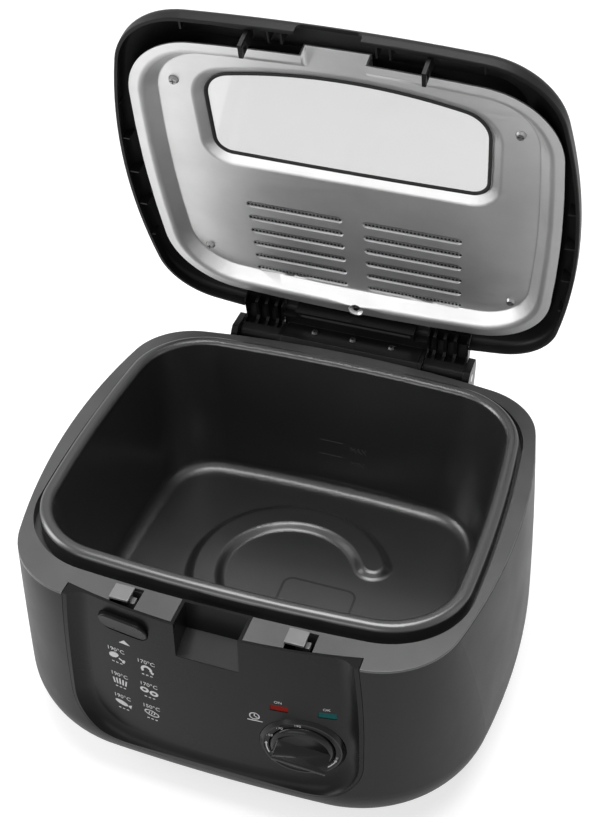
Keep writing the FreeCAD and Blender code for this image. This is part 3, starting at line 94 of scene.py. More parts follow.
class FryerSizes(bpy.types.PropertyGroup):
    """Sizes of the printed marks and the small hardware."""

    print_lift: length_value("Print lift", "How far a printed mark stands off its face", 0.00012)
    print_sink: length_value("Print sink", "How far a printed mark reaches into its face", 0.0002)
    number_height: length_value("Number height", "Height of the temperature figures on the panel", 0.0034)
    dial_number_height: length_value("Dial number height", "Height of the figures round the knob", 0.0021)
    scale_inner: length_value(
        "Scale inner radius", "Inner radius of the ring that carries the dial's figures", 0.0204)
    scale_outer: length_value(
        "Scale outer radius", "Outer radius of the ring that carries the dial's figures", 0.0235)
    scale_height: length_value("Scale height", "How far the ring stands off the panel's face", 0.0019)
    scale_sides: IntProperty(name="Scale sides", description="Facets round the ring", default=96)
    dial_reach: length_value("Dial reach", "Radius of the figures round the knob", 0.0219)
    arrow_reach: length_value("Arrow reach", "Radius of the turning marks round the knob", 0.0221)
    lamp_word_height: length_value("Lamp word height", "Height of the words over the lamps", 0.0022)
    level_height: length_value("Level word height", "Height of the words beside the oil levels", 0.0042)
    mark_width: length_value("Mark width", "Width of the line pressed into the pot's floor", 0.0016)
    mesh_pitch: length_value("Mesh pitch", "Distance between holes along a row of the filter sheet", 0.0026)
    row_pitch: length_value(
        "Row pitch", "Distance between rows of holes, a quarter of the slots' pitch", 0.0034475)
    row_shift: FloatProperty(
        name="Row shift", description="How far a row lies past the middle of its slot, in rows", default=0.25)
    mesh_hole: FloatProperty(
        name="Mesh hole", description="Width of a hole as a share of the pitch", default=0.6)
    press_round: length_value(
        "Press round", "Width of the rounding at the lid plate's pressed creases", 0.0028)
    edge_round: length_value("Edge round", "Width of the rounding at moulded edges", 0.0004)
    knob_bore: length_value("Knob bore", "Reach that holds the bore for the knob's shaft", 0.0036)
    spindle_end: length_value(
        "Spindle end", "How far the thermostat's spindle reaches into the knob", 0.006)
    pane_lap: length_value("Pane lap", "How far the pane's edge lies behind the plate", 0.0051)
    pane_room: length_value("Pane room", "Room between the pane's edge and the lid", 0.0003)
    bracket_end: length_value("Bracket end", "Half width of the hinge bracket's middle", 0.0515)
    bracket_end_width: length_value("Bracket end width", "Width of each round end of the bracket", 0.0025)
    bracket_round: length_value("Bracket round", "Radius of the bracket about the hinge", 0.0138)
    bracket_flat: length_value("Bracket flat", "Height of the bracket's flat top above the hinge", 0.0108)
    upstand_depth: length_value("Upstand depth", "Depth of the bracket's raised back", 0.0056)
    pin_hole: length_value("Pin hole", "Radius of the hole for the hinge pin", 0.00305)
    screw_sides: IntProperty(name="Screw sides", description="Facets round a screw head", default=32)
    screw_radius: length_value("Screw radius", "Radius of a screw head", 0.0034)
    shank_radius: length_value("Shank radius", "Radius of a screw's shank", 0.0015)


class FryerColours(bpy.types.PropertyGroup):
    """Base colours of the materials."""

    plastic: colour_value("Housing plastic", "Black moulded housing and lid", (0.013, 0.013, 0.0133))
    panel: colour_value("Panel plastic", "Front panel, a smoother black", (0.008, 0.008, 0.0083))
    # Partly painted light: the ring is a matter plastic, and its colour is also raised above the housing's
    # black to stand for the overhead light its flat top catches.
    rim: colour_value("Rim plastic", "Top ring, a matter and lighter black", (0.045, 0.045, 0.046))
    hook: colour_value("Hook plastic", "Latch bar with its two hooks", (0.14, 0.14, 0.14))
    coating: colour_value("Non-stick coating", "Coated pot and rim", (0.012, 0.012, 0.0125))
    aluminium: colour_value("Aluminium", "Pressed inner plate of the lid", (0.72, 0.72, 0.72))
    steel: colour_value("Steel", "Screws, pins, springs and brackets", (0.55, 0.55, 0.56))
    rubber: colour_value("Rubber", "Feet, gasket and grommet", (0.02, 0.02, 0.02))
    red_lens: colour_value("Power lens", "Red lamp lens", (0.22, 0.008, 0.003))
    teal_lens: colour_value("Ready lens", "Green lamp lens", (0.006, 0.095, 0.095))
    level: colour_value(
        "Level mark", "Oil level lines, a little lighter than the coating", (0.06, 0.06, 0.06))
    # Painted shade: the pressed square's line is coloured darker than the coating, standing for the shade at
    # the bottom of its groove.
    mark: colour_value(
        "Pressed mark", "Shaded bottom of a mark pressed into the pot", (0.004, 0.004, 0.004))
    ink: colour_value("Print ink", "White printed marks", (0.62, 0.62, 0.62))
    floor: colour_value("Floor", "Floor and backdrop", (0.45, 0.45, 0.45))


class FryerCamera(bpy.types.PropertyGroup):
    """Where the camera stands, about the middle of the pot's rim."""

    azimuth: FloatProperty(
        name="Azimuth", description="Turn of the view to the right of straight ahead",
        default=math.radians(17.346), subtype="ANGLE")
    elevation: FloatProperty(
        name="Elevation", description="Height of the view above the horizon",
        default=math.radians(38.523), subtype="ANGLE")
    roll: FloatProperty(
        name="Roll", description="Turn of the picture about the view",
        default=math.radians(1.176), subtype="ANGLE")
    distance: length_value("Distance", "Distance from the pot's rim", 0.88785)
    right: length_value("Right", "Step to the right of the view", 0.008163)
    up: length_value("Up", "Step up from the view", 0.035406)
    lens: FloatProperty(name="Lens", description="Focal length in millimetres", default=60.80)


def sizes():
    return bpy.context.scene.fryer_sizes


def colours():
    return bpy.context.scene.fryer_colours


def node_group(name, inputs, outputs):
    """A new shader group with its sockets, and its input and output nodes."""
    group = bpy.data.node_groups.new(name, "ShaderNodeTree")
    for label, kind, value in inputs:
        socket = group.interface.new_socket(label, in_out="INPUT", socket_type=kind)
        if value is not None:
            socket.default_value = value
    for label, kind in outputs:
        group.interface.new_socket(label, in_out="OUTPUT", socket_type=kind)
    return group, group.nodes.new("NodeGroupInput"), group.nodes.new("NodeGroupOutput")


def wired(tree, kind, inputs, **settings):
    """A new node with its settings, and each input linked to a socket or set to a value."""
    node = tree.nodes.new(kind)
    for label, value in settings.items():
        setattr(node, label, value)
    for label, value in inputs.items():
        if isinstance(value, bpy.types.NodeSocket):
            tree.links.new(value, node.inputs[label])
        else:
            node.inputs[label].default_value = value
    return node


def maths(tree, operation, first, second):
    """The result of one sum on two values, each a number or a socket."""
    return wired(tree, "ShaderNodeMath", {0: first, 1: second}, operation=operation).outputs[0]


def noise(tree, vector, scale, detail, roughness):
    inputs = {"Vector": vector, "Scale": scale, "Detail": detail, "Roughness": roughness}
    return wired(tree, "ShaderNodeTexNoise", inputs).outputs["Fac"]


def spread(tree, value, low_in, high_in, low_out, high_out):
    """A value brought from one range to another."""
    inputs = {"Value": value, "From Min": low_in, "From Max": high_in, "To Min": low_out, "To Max": high_out}
    return wired(tree, "ShaderNodeMapRange", inputs).outputs["Result"]


def mixed(tree, factor, first, second):
    """A colour between two colours."""
    node = wired(tree, "ShaderNodeMix", {"Factor": factor}, data_type="RGBA")
    for label, colour in (("A", first), ("B", second)):
        socket = next(s for s in node.inputs if s.name == label and s.type == "RGBA")
        socket.default_value = colour
    return next(s for s in node.outputs if s.type == "RGBA")


def grain_group():
    """Moulded grain: a fine height, and a slow cloud that varies sheen and shade."""
    group, inlet, outlet = node_group(
        "moulded_grain",
        [("Vector", "NodeSocketVector", None), ("Grain", "NodeSocketFloat", 2600.0),
         ("Cloud", "NodeSocketFloat", 18.0)],
        [("Height", "NodeSocketFloat"), ("Cloud", "NodeSocketFloat")])
    fine = noise(group, inlet.outputs["Vector"], inlet.outputs["Grain"], 2.0, 0.55)
    slow = noise(group, inlet.outputs["Vector"], inlet.outputs["Cloud"], 4.0, 0.6)
    group.links.new(fine, outlet.inputs["Height"])
    group.links.new(spread(group, slow, 0.3, 0.7, 0.0, 1.0), outlet.inputs["Cloud"])
    return group


def speckle_group():
    """Non-stick coating: dark coat with a sparse fine fleck and a soft mottle."""
    group, inlet, outlet = node_group(
        "coating_speckle",
        [("Vector", "NodeSocketVector", None), ("Fleck", "NodeSocketFloat", 1500.0)],
        [("Fleck", "NodeSocketFloat"), ("Mottle", "NodeSocketFloat")])
    cells = wired(group, "ShaderNodeTexVoronoi",
                  {"Vector": inlet.outputs["Vector"], "Scale": inlet.outputs["Fleck"]})
    near = spread(group, cells.outputs["Distance"], 0.0, 0.28, 1.0, 0.0)
    slow = noise(group, inlet.outputs["Vector"], 60.0, 4.0, 0.6)
    group.links.new(near, outlet.inputs["Fleck"])
    group.links.new(spread(group, slow, 0.3, 0.7, 0.0, 1.0), outlet.inputs["Mottle"])
    return group


def brushed_group():
    """Rolled sheet: streaks along X and a slow cloud."""
    group, inlet, outlet = node_group(
        "rolled_sheet",
        [("Vector", "NodeSocketVector", None), ("Streak", "NodeSocketFloat", 900.0)],
        [("Streak", "NodeSocketFloat"), ("Cloud", "NodeSocketFloat")])
    squeeze = wired(group, "ShaderNodeVectorMath",
                    {0: inlet.outputs["Vector"], 1: (0.03, 1.0, 1.0)}, operation="MULTIPLY")
    streak = noise(group, squeeze.outputs["Vector"], inlet.outputs["Streak"], 3.0, 0.6)
    slow = noise(group, inlet.outputs["Vector"], 25.0, 3.0, 0.55)
    group.links.new(streak, outlet.inputs["Streak"])
    group.links.new(spread(group, slow, 0.3, 0.7, 0.0, 1.0), outlet.inputs["Cloud"])
    return group


def shared(name, maker):
    """A shader group, made the first time that it is asked for."""
    return bpy.data.node_groups.get(name) or maker()


class Finish:
    """A new material with its Principled shader and Object coordinates at hand."""

    def __init__(self, name):
        self.material = bpy.data.materials.new(name)
        self.material.use_nodes = True
        self.tree = self.material.node_tree
        self.shader = self.tree.nodes["Principled BSDF"]
        self.place = self.tree.nodes.new("ShaderNodeTexCoord").outputs["Object"]

    def use(self, name, maker, **values):
        """A shared group in this material, fed with Object coordinates."""
        node = self.tree.nodes.new("ShaderNodeGroup")
        node.node_tree = shared(name, maker)
        self.tree.links.new(self.place, node.inputs["Vector"])
        for label, value in values.items():
            node.inputs[label].default_value = value
        return node.outputs

    def set(self, **values):
        for label, value in values.items():
            self.shader.inputs[label.replace("_", " ")].default_value = value

    def link(self, value, socket):
        self.tree.links.new(value, self.shader.inputs[socket])

    def paint(self, factor, first, second):
        """A base colour between two colours."""
        self.link(mixed(self.tree, factor, first, second), "Base Color")

    def sheen(self, value, low, high, smooth, rough):
        """A roughness that follows a value."""
        self.link(spread(self.tree, value, low, high, smooth, rough), "Roughness")

    def bump(self, height, strength, distance):
        inputs = {"Height": height, "Strength": strength, "Distance": distance}
        self.link(wired(self.tree, "ShaderNodeBump", inputs).outputs["Normal"], "Normal")


def shade(colour, factor):
    return tuple(channel * factor for channel in colour) + (1.0,)


def plastic(name, colour, rough=(0.36, 0.46), specular=0.5, grain=2600.0, strength=0.12):
    """Moulded plastic with a fine grain, a slow change of shade and of sheen."""
    finish = Finish(name)
    parts = finish.use("moulded_grain", grain_group, Grain=grain)
    finish.paint(parts["Cloud"], shade(colour, 0.85), shade(colour, 1.2))
    finish.sheen(parts["Cloud"], 0.0, 1.0, *rough)
    finish.bump(parts["Height"], strength, 0.0002)
    finish.set(Specular_IOR_Level=specular)
    return finish.material


def coated(name, colour):
    """Non-stick coating with fine light flecks."""
    finish = Finish(name)
    parts = finish.use("coating_speckle", speckle_group)
    grain = finish.use("moulded_grain", grain_group, Grain=1800.0)
    flecks = spread(finish.tree, parts["Fleck"], 0.0, 1.0, 0.0, 0.12)
    finish.paint(flecks, shade(colour, 0.9), shade(colour, 2.2))
    finish.sheen(parts["Mottle"], 0.0, 1.0, 0.29, 0.32)
    finish.bump(grain["Height"], 0.05, 0.0001)
    finish.set(Specular_IOR_Level=1.0)
    return finish.material


def sheet_metal(name, colour, rough=(0.43, 0.51), streak=900.0):
    """Rolled or pressed sheet with fine streaks."""
    finish = Finish(name)
    parts = finish.use("rolled_sheet", brushed_group, Streak=streak)
    finish.paint(parts["Cloud"], shade(colour, 0.93), shade(colour, 1.05))
    finish.sheen(parts["Streak"], 0.25, 0.75, *rough)
    finish.bump(parts["Streak"], 0.06, 0.0002)
    finish.set(Metallic=1.0)
    return finish.material


def lens(name, colour):
    """A clear coloured lens with ribs. Its colour goes lighter and darker along the ribs, painted light for
    the ribbed lamp behind it; the bump gives the ribs their shape.
    """
    finish = Finish(name)
    ribs = wired(finish.tree, "ShaderNodeTexWave", {"Vector": finish.place, "Scale": 420.0}).outputs["Fac"]
    finish.paint(ribs, shade(colour, 0.8), shade(colour, 1.15))
    finish.bump(ribs, 0.15, 0.0002)
    finish.set(Roughness=0.25, Specular_IOR_Level=0.03)
    return finish.material


def glass(name):
    """The lid's window pane, very slightly hazy."""
    finish = Finish(name)
    parts = finish.use("moulded_grain", grain_group, Cloud=9.0)
    finish.paint(parts["Cloud"], (0.62, 0.62, 0.62, 1.0), (0.65, 0.65, 0.65, 1.0))
    finish.sheen(parts["Cloud"], 0.0, 1.0, 0.03, 0.08)
    finish.set(Transmission_Weight=1.0, IOR=1.48)
    return finish.material


def ink(name, colour):
    """Screen-printed ink with a slightly uneven cover. The pot's pressed square also uses it, as a dark
    painted shade.
    """
    finish = Finish(name)
    parts = finish.use("moulded_grain", grain_group, Grain=5200.0, Cloud=900.0)
    finish.paint(parts["Cloud"], shade(colour, 0.85), shade(colour, 1.05))
    finish.bump(parts["Height"], 0.05, 0.0001)
    finish.set(Roughness=0.5)
    return finish.material


def give(material, *nodes):
    """A CAD node's slots hold this material alone."""
    for name in nodes:
        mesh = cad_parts[name].data
        mesh.materials.clear()
        mesh.materials.append(material)


def finish_of(node):
    """The material that a CAD node has been given."""
    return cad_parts[node].data.materials[0]


class Skin:
    """The outside of a CAD node, which prints and marks are laid on."""

    def __init__(self, node):
        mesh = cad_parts[node].data
        corners = [vertex.co.copy() for vertex in mesh.vertices]
        self.tree = BVHTree.FromPolygons(corners, [tuple(face.vertices) for face in mesh.polygons])

    def point(self, start, way, lift):
        """Where a ray meets the skin, moved back along the ray by a lift."""
        place = self.tree.ray_cast(start, way)[0]
        if place is None:
            raise RuntimeError("a mark lies beside the piece that carries it")
        return place - way * lift


def panel_surface():
    """The front panel's face, by width and height."""
    skin = Skin("front_panel")
    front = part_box("front_panel")[0][1] - RAY_START
    return lambda x, z, lift: skin.point(Vector((x, front, z)), BACKWARD, lift)


def dial_surface():
    """The ring round the knob, in the dial's own plane."""
    height = sizes().scale_height
    return lambda u, v, lift: KNOB_CENTRE + KNOB_RIGHT * u + KNOB_UP * v + KNOB_AXIS * (height + lift)


def pot_wall_surface():
    """The pot's back wall seen from inside, by width and height."""
    skin = Skin("pot")
    return lambda x, z, lift: skin.point(Vector((x, 0.0, z)), BACKWARD, lift)


def pot_floor_surface():
    """The pot's floor, by width and depth."""
    skin = Skin("pot")
    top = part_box("pot")[1][2] - RAY_START
    return lambda x, y, lift: skin.point(Vector((x, y, top)), DOWNWARD, lift)


def held(data, name):
    """A new object in the scene that holds a mesh, a lamp or a camera."""
    holder = bpy.data.objects.new(name, data)
    bpy.context.scene.collection.objects.link(holder)
    return holder


def new_piece(name, mesh, material, body):
    """A piece of the scene that rides a body, with its material."""
    piece = held(mesh, name)
    mesh.materials.clear()
    mesh.materials.append(material)
    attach(piece, body)
    return piece


def add_prism(bm, outline, surface, lift, sink):
    """One printed patch: an outline on a surface, given a little thickness."""
    top = [bm.verts.new(surface(a, b, lift)) for a, b in outline]
    low = [bm.verts.new(surface(a, b, -sink)) for a, b in outline]
    bm.faces.new(top)
    bm.faces.new(low[::-1])
    count = len(outline)
    for i in range(count):
        j = (i + 1) % count
        bm.faces.new((top[j], top[i], low[i], low[j]))


def add_band(bm, inner, outer, surface, lift, sink, closed):
    """A stroke between two edges of points, closed on itself or with two ends."""
    rails = [[bm.verts.new(surface(a, b, rise)) for a, b in edge]
             for edge in (inner, outer) for rise in (lift, -sink)]
    inner_top, inner_low, outer_top, outer_low = rails
    count = len(inner)
    for i in range(count if closed else count - 1):
        j = (i + 1) % count
        bm.faces.new((inner_top[i], outer_top[i], outer_top[j], inner_top[j]))
        bm.faces.new((inner_low[j], outer_low[j], outer_low[i], inner_low[i]))
        bm.faces.new((outer_top[i], outer_low[i], outer_low[j], outer_top[j]))
        bm.faces.new((inner_top[j], inner_low[j], inner_low[i], inner_top[i]))
    if not closed:
        for i in (0, count - 1):
            bm.faces.new((inner_top[i], inner_low[i], outer_low[i], outer_top[i]))


def join_rings(bm, rings):
    """Faces between each ring of points and the next, closed on itself."""
    for first, second in zip(rings, rings[1:] + rings[:1]):
        count = len(first)
        for i in range(count):
            j = (i + 1) % count
            bm.faces.new((first[i], first[j], second[j], second[i]))


def around(reach, angle):
    """A point at a distance from the middle, at an angle in degrees."""
    return reach * math.cos(math.radians(angle)), reach * math.sin(math.radians(angle))


def oval(centre, a, b, turn=0.0, count=28):
    """Points round an ellipse."""
    points = []
    for i in range(count):
        angle = 2.0 * math.pi * i / count
        u = a * math.cos(angle)
        v = b * math.sin(angle)
        points.append((centre[0] + u * math.cos(turn) - v * math.sin(turn),
                       centre[1] + u * math.sin(turn) + v * math.cos(turn)))
    return points


def rounded_square(centre, half, corner):
    """Points round a square with round corners."""
    points = []
    for quarter, (side_u, side_v) in enumerate(((1, 1), (-1, 1), (-1, -1), (1, -1))):
        for count in range(7):
            angle = math.radians(90.0 * quarter + 15.0 * count)
            points.append((centre[0] + side_u * (half - corner) + corner * math.cos(angle),
                           centre[1] + side_v * (half - corner) + corner * math.sin(angle)))
    return points


def bar(start, end, width):
    """The corners of a straight stroke."""
    along = Vector(end) - Vector(start)
    side = Vector((-along.y, along.x)).normalized() * (width / 2.0)
    return [tuple(Vector(start) - side), tuple(Vector(end) - side),
            tuple(Vector(end) + side), tuple(Vector(start) + side)]


def arc_band(centre, radius, width, first, last, count=12):
    """A stroke along an arc, in degrees, as two edges of points."""
    inner = []
    outer = []
    for i in range(count + 1):
        angle = math.radians(first + (last - first) * i / count)
        way = (math.cos(angle), math.sin(angle))
        inner.append((centre[0] + way[0] * (radius - width / 2), centre[1] + way[1] * (radius - width / 2)))
        outer.append((centre[0] + way[0] * (radius + width / 2), centre[1] + way[1] * (radius + width / 2)))
    return inner, outer


def add_text(bm, words, centre, height, surface, lift, sink):
    """Figures set as a mesh and laid on a surface, middle on a point."""
    curve = bpy.data.curves.new("figures", "FONT")
    curve.body = words
    curve.align_x = "CENTER"
    curve.align_y = "CENTER"
    curve.size = height * FIGURE_BODY
    curve.resolution_u = 3
    holder = bpy.data.objects.new("figures", curve)
    mesh = bpy.data.meshes.new_from_object(holder)
    flat = bmesh.new()
    flat.from_mesh(mesh)
    bmesh.ops.remove_doubles(flat, verts=flat.verts, dist=1e-7)
    flat.verts.ensure_lookup_table()
    spots = [(centre[0] + v.co.x, centre[1] + v.co.y) for v in flat.verts]
    top = [bm.verts.new(surface(a, b, lift)) for a, b in spots]
    low = [bm.verts.new(surface(a, b, -sink)) for a, b in spots]
    for face in flat.faces:
        order = [v.index for v in face.verts]
        if face.normal.z < 0.0:
            order.reverse()
        bm.faces.new([top[i] for i in order])
        bm.faces.new([low[i] for i in reversed(order)])
    for edge in flat.edges:
        if len(edge.link_faces) == 1:
            i, j = edge.verts[0].index, edge.verts[1].index
            bm.faces.new((top[i], top[j], low[j], low[i]))
    flat.free()
    bpy.data.meshes.remove(mesh)
    bpy.data.objects.remove(holder)
    bpy.data.curves.remove(curve)


def finished_mesh(bm, name):
    bmesh.ops.recalc_face_normals(bm, faces=bm.faces)
    mesh = bpy.data.meshes.new(name)
    bm.to_mesh(mesh)
    bm.free()
    return mesh


class Pen:
    """Draws patches, strokes and figures on one surface, all in one mesh."""

    def __init__(self, surface, lift, sink):
        self.bm = bmesh.new()
        self.surface = surface
        self.lift = lift
        self.sink = sink

    def patch(self, outline):
        add_prism(self.bm, outline, self.surface, self.lift, self.sink)

    def ring(self, inner, outer):
        add_band(self.bm, inner, outer, self.surface, self.lift, self.sink, True)

    def arc(self, centre, radius, width, first, last, count=12):
        inner, outer = arc_band(centre, radius, width, first, last, count)
        add_band(self.bm, inner, outer, self.surface, self.lift, self.sink, False)

    def words(self, text, centre, height):
        add_text(self.bm, text, centre, height, self.surface, self.lift, self.sink)

    def mesh(self, name):
        return finished_mesh(self.bm, name)


def print_drumstick(pen, x, z):
    pen.patch(oval((x - 0.0018, z + 0.0008), 0.0036, 0.0024, 0.5))
    pen.patch(bar((x + 0.0016, z - 0.0010), (x + 0.0042, z - 0.0026), 0.0011))
    pen.patch(oval((x + 0.0051, z - 0.0022), 0.0009, 0.0009, 0.0, 12))
    pen.patch(oval((x + 0.0045, z - 0.0036), 0.0009, 0.0009, 0.0, 12))


def print_fish(pen, x, z):
    pen.patch(oval((x - 0.001, z), 0.0046, 0.0021, -0.25))
    pen.patch([(x + 0.0036, z - 0.0010), (x + 0.0064, z + 0.0008), (x + 0.0054, z - 0.0034)])


def print_chips(pen, x, z):
    for step in range(5):
        lean = (step - 2) * 0.0004
        base = x + (step - 2) * 0.0019
        pen.patch(bar((base, z - 0.003), (base + lean, z + 0.0028 - abs(lean)), 0.0011))


def print_shrimp(pen, x, z):
    pen.arc((x, z - 0.0006), 0.0030, 0.0018, -20.0, 215.0, 14)
    pen.patch([(x + 0.0022, z - 0.0024), (x + 0.0050, z - 0.0016), (x + 0.0042, z - 0.0038)])


def print_rings(pen, x, z):
    for dx, dz in ((-0.0032, 0.0006), (0.0032, -0.0006)):
        inner = oval((x + dx, z + dz), 0.0014, 0.0011, 0.0, 20)
        outer = oval((x + dx, z + dz), 0.0030, 0.0025, 0.0, 20)
        pen.ring(inner, outer)


def print_roll(pen, x, z):
    pen.ring(oval((x, z), 0.0044, 0.0021, -0.2, 24), oval((x, z), 0.0052, 0.0028, -0.2, 24))
    for step in (-0.0018, 0.0, 0.0018):
        pen.patch(bar((x + step - 0.0004, z - 0.0010), (x + step + 0.0004, z + 0.0012), 0.0006))


def print_clock(pen, x, z):
    pen.ring(oval((x, z), 0.0026, 0.0026, 0.0, 24), oval((x, z), 0.0033, 0.0033, 0.0, 24))
    for start, end in (((0.0, -0.0002), (0.0, 0.0022)), ((0.0004, -0.0004), (0.0018, -0.0012))):
        pen.patch(bar((x + start[0], z + start[1]), (x + end[0], z + end[1]), 0.0007))


def geometry_tree(name, inputs):
    """A new geometry tree with its named inputs, and its input and output nodes."""
    tree = bpy.data.node_groups.new(name, "GeometryNodeTree")
    tree.interface.new_socket("Geometry", in_out="INPUT", socket_type="NodeSocketGeometry")
    for label, kind in inputs:
        tree.interface.new_socket(label, in_out="INPUT", socket_type=kind)
    tree.interface.new_socket("Geometry", in_out="OUTPUT", socket_type="NodeSocketGeometry")
    return tree, tree.nodes.new("NodeGroupInput").outputs, tree.nodes.new("NodeGroupOutput")


def finish_tree(tree, geometry, material, outlet):
    """The tree's end: instances made real, then the material."""
    real = wired(tree, "GeometryNodeRealizeInstances", {"Geometry": geometry}).outputs["Geometry"]
    paint = wired(tree, "GeometryNodeSetMaterial", {"Geometry": real, "Material": material})
    tree.links.new(paint.outputs["Geometry"], outlet.inputs["Geometry"])


def vector(tree, x, y, z):
    """A vector from three values, each a number or a socket."""
    return wired(tree, "ShaderNodeCombineXYZ", {"X": x, "Y": y, "Z": z}).outputs[0]


def moved(tree, geometry, offset):
    """A geometry moved by a vector."""
    inputs = {"Geometry": geometry, "Translation": offset}
    return wired(tree, "GeometryNodeTransform", inputs).outputs["Geometry"]


def joined(tree, first, second):
    """Two geometries as one."""
    node = wired(tree, "GeometryNodeJoinGeometry", {"Geometry": first})
    tree.links.new(second, node.inputs["Geometry"])
    return node.outputs["Geometry"]


def turned(tree, angles):
    """A rotation from three angles."""
    return wired(tree, "FunctionNodeEulerToRotation", {"Euler": angles}).outputs["Rotation"]


def screw_tree():
    """Domed screws with a cross recess, one on each point, heads along the turned Z axis."""
    tree, given, outlet = geometry_tree("cross_screws", [
        ("Head Radius", "NodeSocketFloat"), ("Head Height", "NodeSocketFloat"),
        ("Shank Radius", "NodeSocketFloat"), ("Shank Length", "NodeSocketFloat"),
        ("Sides", "NodeSocketInt"), ("Turn", "NodeSocketVector"), ("Finish", "NodeSocketMaterial")])
    radius = given["Head Radius"]
    height = given["Head Height"]
    head = wired(tree, "GeometryNodeMeshCone", {
        "Vertices": given["Sides"], "Radius Top": maths(tree, "MULTIPLY", radius, 0.72),
        "Radius Bottom": radius, "Depth": height})
    recess = wired(tree, "GeometryNodeMeshBoolean", {"Mesh 1": head.outputs["Mesh"]}, operation="DIFFERENCE")
    long_side = maths(tree, "MULTIPLY", radius, 1.15)
    short_side = maths(tree, "MULTIPLY", radius, 0.24)
    for wide, deep in ((long_side, short_side), (short_side, long_side)):
        arm = wired(tree, "GeometryNodeMeshCube", {"Size": vector(tree, wide, deep, height)})
        raised = moved(tree, arm.outputs["Mesh"], vector(tree, 0.0, 0.0, height))
        tree.links.new(raised, recess.inputs["Mesh 2"])
    shank = wired(tree, "GeometryNodeMeshCylinder", {
        "Vertices": SHANK_SIDES, "Radius": given["Shank Radius"], "Depth": given["Shank Length"]})
    low = vector(tree, 0.0, 0.0, maths(tree, "MULTIPLY", given["Shank Length"], -0.5))
    screw = joined(tree, recess.outputs["Mesh"], moved(tree, shank.outputs["Mesh"], low))
    places = wired(tree, "GeometryNodeInstanceOnPoints", {
        "Points": given["Geometry"], "Instance": screw, "Rotation": turned(tree, given["Turn"])})
    finish_tree(tree, places.outputs["Instances"], given["Finish"], outlet)
    return tree


def perforated_tree():
    """A flat sheet with a square hole in every cell, turned about X and moved to its place."""
    tree, given, outlet = geometry_tree("perforated_sheet", [
        ("Width", "NodeSocketFloat"), ("Depth", "NodeSocketFloat"), ("Thickness", "NodeSocketFloat"),
        ("Pitch", "NodeSocketFloat"), ("Row Pitch", "NodeSocketFloat"), ("Hole", "NodeSocketFloat"),
        ("Turn", "NodeSocketVector"), ("Place", "NodeSocketVector"), ("Finish", "NodeSocketMaterial")])
    spans = {}
    for side, span, pitch in (("X", "Width", "Pitch"), ("Y", "Depth", "Row Pitch")):
        cells = maths(tree, "DIVIDE", given[span], given[pitch])
        spans[f"Size {side}"] = given[span]
        spans[f"Vertices {side}"] = maths(tree, "ADD", cells, 1.5)
    sheet = wired(tree, "GeometryNodeMeshGrid", spans)
    inset = wired(tree, "GeometryNodeExtrudeMesh", {
        "Mesh": sheet.outputs["Mesh"], "Offset Scale": 0.0, "Individual": True}, mode="FACES")
    shrink = wired(tree, "GeometryNodeScaleElements", {
        "Geometry": inset.outputs["Mesh"], "Selection": inset.outputs["Top"], "Scale": given["Hole"]})
    holes = wired(tree, "GeometryNodeDeleteGeometry", {
        "Geometry": shrink.outputs["Geometry"], "Selection": inset.outputs["Top"]},
        domain="FACE", mode="ONLY_FACE").outputs["Geometry"]
    thick = wired(tree, "GeometryNodeExtrudeMesh", {
        "Mesh": holes, "Offset Scale": given["Thickness"], "Individual": False}, mode="FACES")
    back = wired(tree, "GeometryNodeFlipFaces", {"Mesh": holes})
    both = joined(tree, thick.outputs["Mesh"], back.outputs["Mesh"])
    seam = wired(tree, "GeometryNodeMergeByDistance", {"Geometry": both, "Distance": 0.00001})
    place = wired(tree, "GeometryNodeTransform", {
        "Geometry": seam.outputs["Geometry"], "Translation": given["Place"],
        "Rotation": turned(tree, given["Turn"])})
    finish_tree(tree, place.outputs["Geometry"], given["Finish"], outlet)
    return tree


def settled(holder, name):
    """The plain mesh of an object with its modifiers. The object and its own mesh go."""
    source = holder.data
    view = bpy.context.evaluated_depsgraph_get()
    mesh = bpy.data.meshes.new_from_object(holder.evaluated_get(view))
    mesh.name = name
    bpy.data.objects.remove(holder)
    bpy.data.meshes.remove(source)
    return mesh


def grown_mesh(name, tree, points, values):
    """The plain mesh that a geometry tree makes from a few points."""
    seed = bpy.data.meshes.new(f"{name}_points")
    seed.from_pydata([tuple(point) for point in points], [], [])
    holder = held(seed, f"{name}_points")
    modifier = holder.modifiers.new("shape", "NODES")
    modifier.node_group = tree
    for item in tree.interface.items_tree:
        if item.in_out == "INPUT" and item.name in values:
            modifier[item.identifier] = values[item.name]
    return settled(holder, name)


def merged_copy(node, flat_angle):
    """A CAD node's mesh with its loose triangles joined and its flat faces made whole."""
    bm = bmesh.new()
    bm.from_mesh(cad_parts[node].data)
    bmesh.ops.remove_doubles(bm, verts=bm.verts, dist=MERGE_REACH)
    if flat_angle:
        bmesh.ops.dissolve_limit(bm, angle_limit=math.radians(flat_angle), verts=bm.verts, edges=bm.edges)
    return bm


def evenly_shaded(bm, name):
    """A plain mesh of a shape, smooth up to the sharp angle and flat on its large faces."""
    mesh = finished_mesh(bm, name)
    mesh.polygons.foreach_set("use_smooth", [True] * len(mesh.polygons))
    mesh.set_sharp_from_angle(angle=SHARP_ANGLE)
    holder = held(mesh, f"{name}_source")
    even = holder.modifiers.new("even", "WEIGHTED_NORMAL")
    even.keep_sharp = True
    return settled(holder, name)


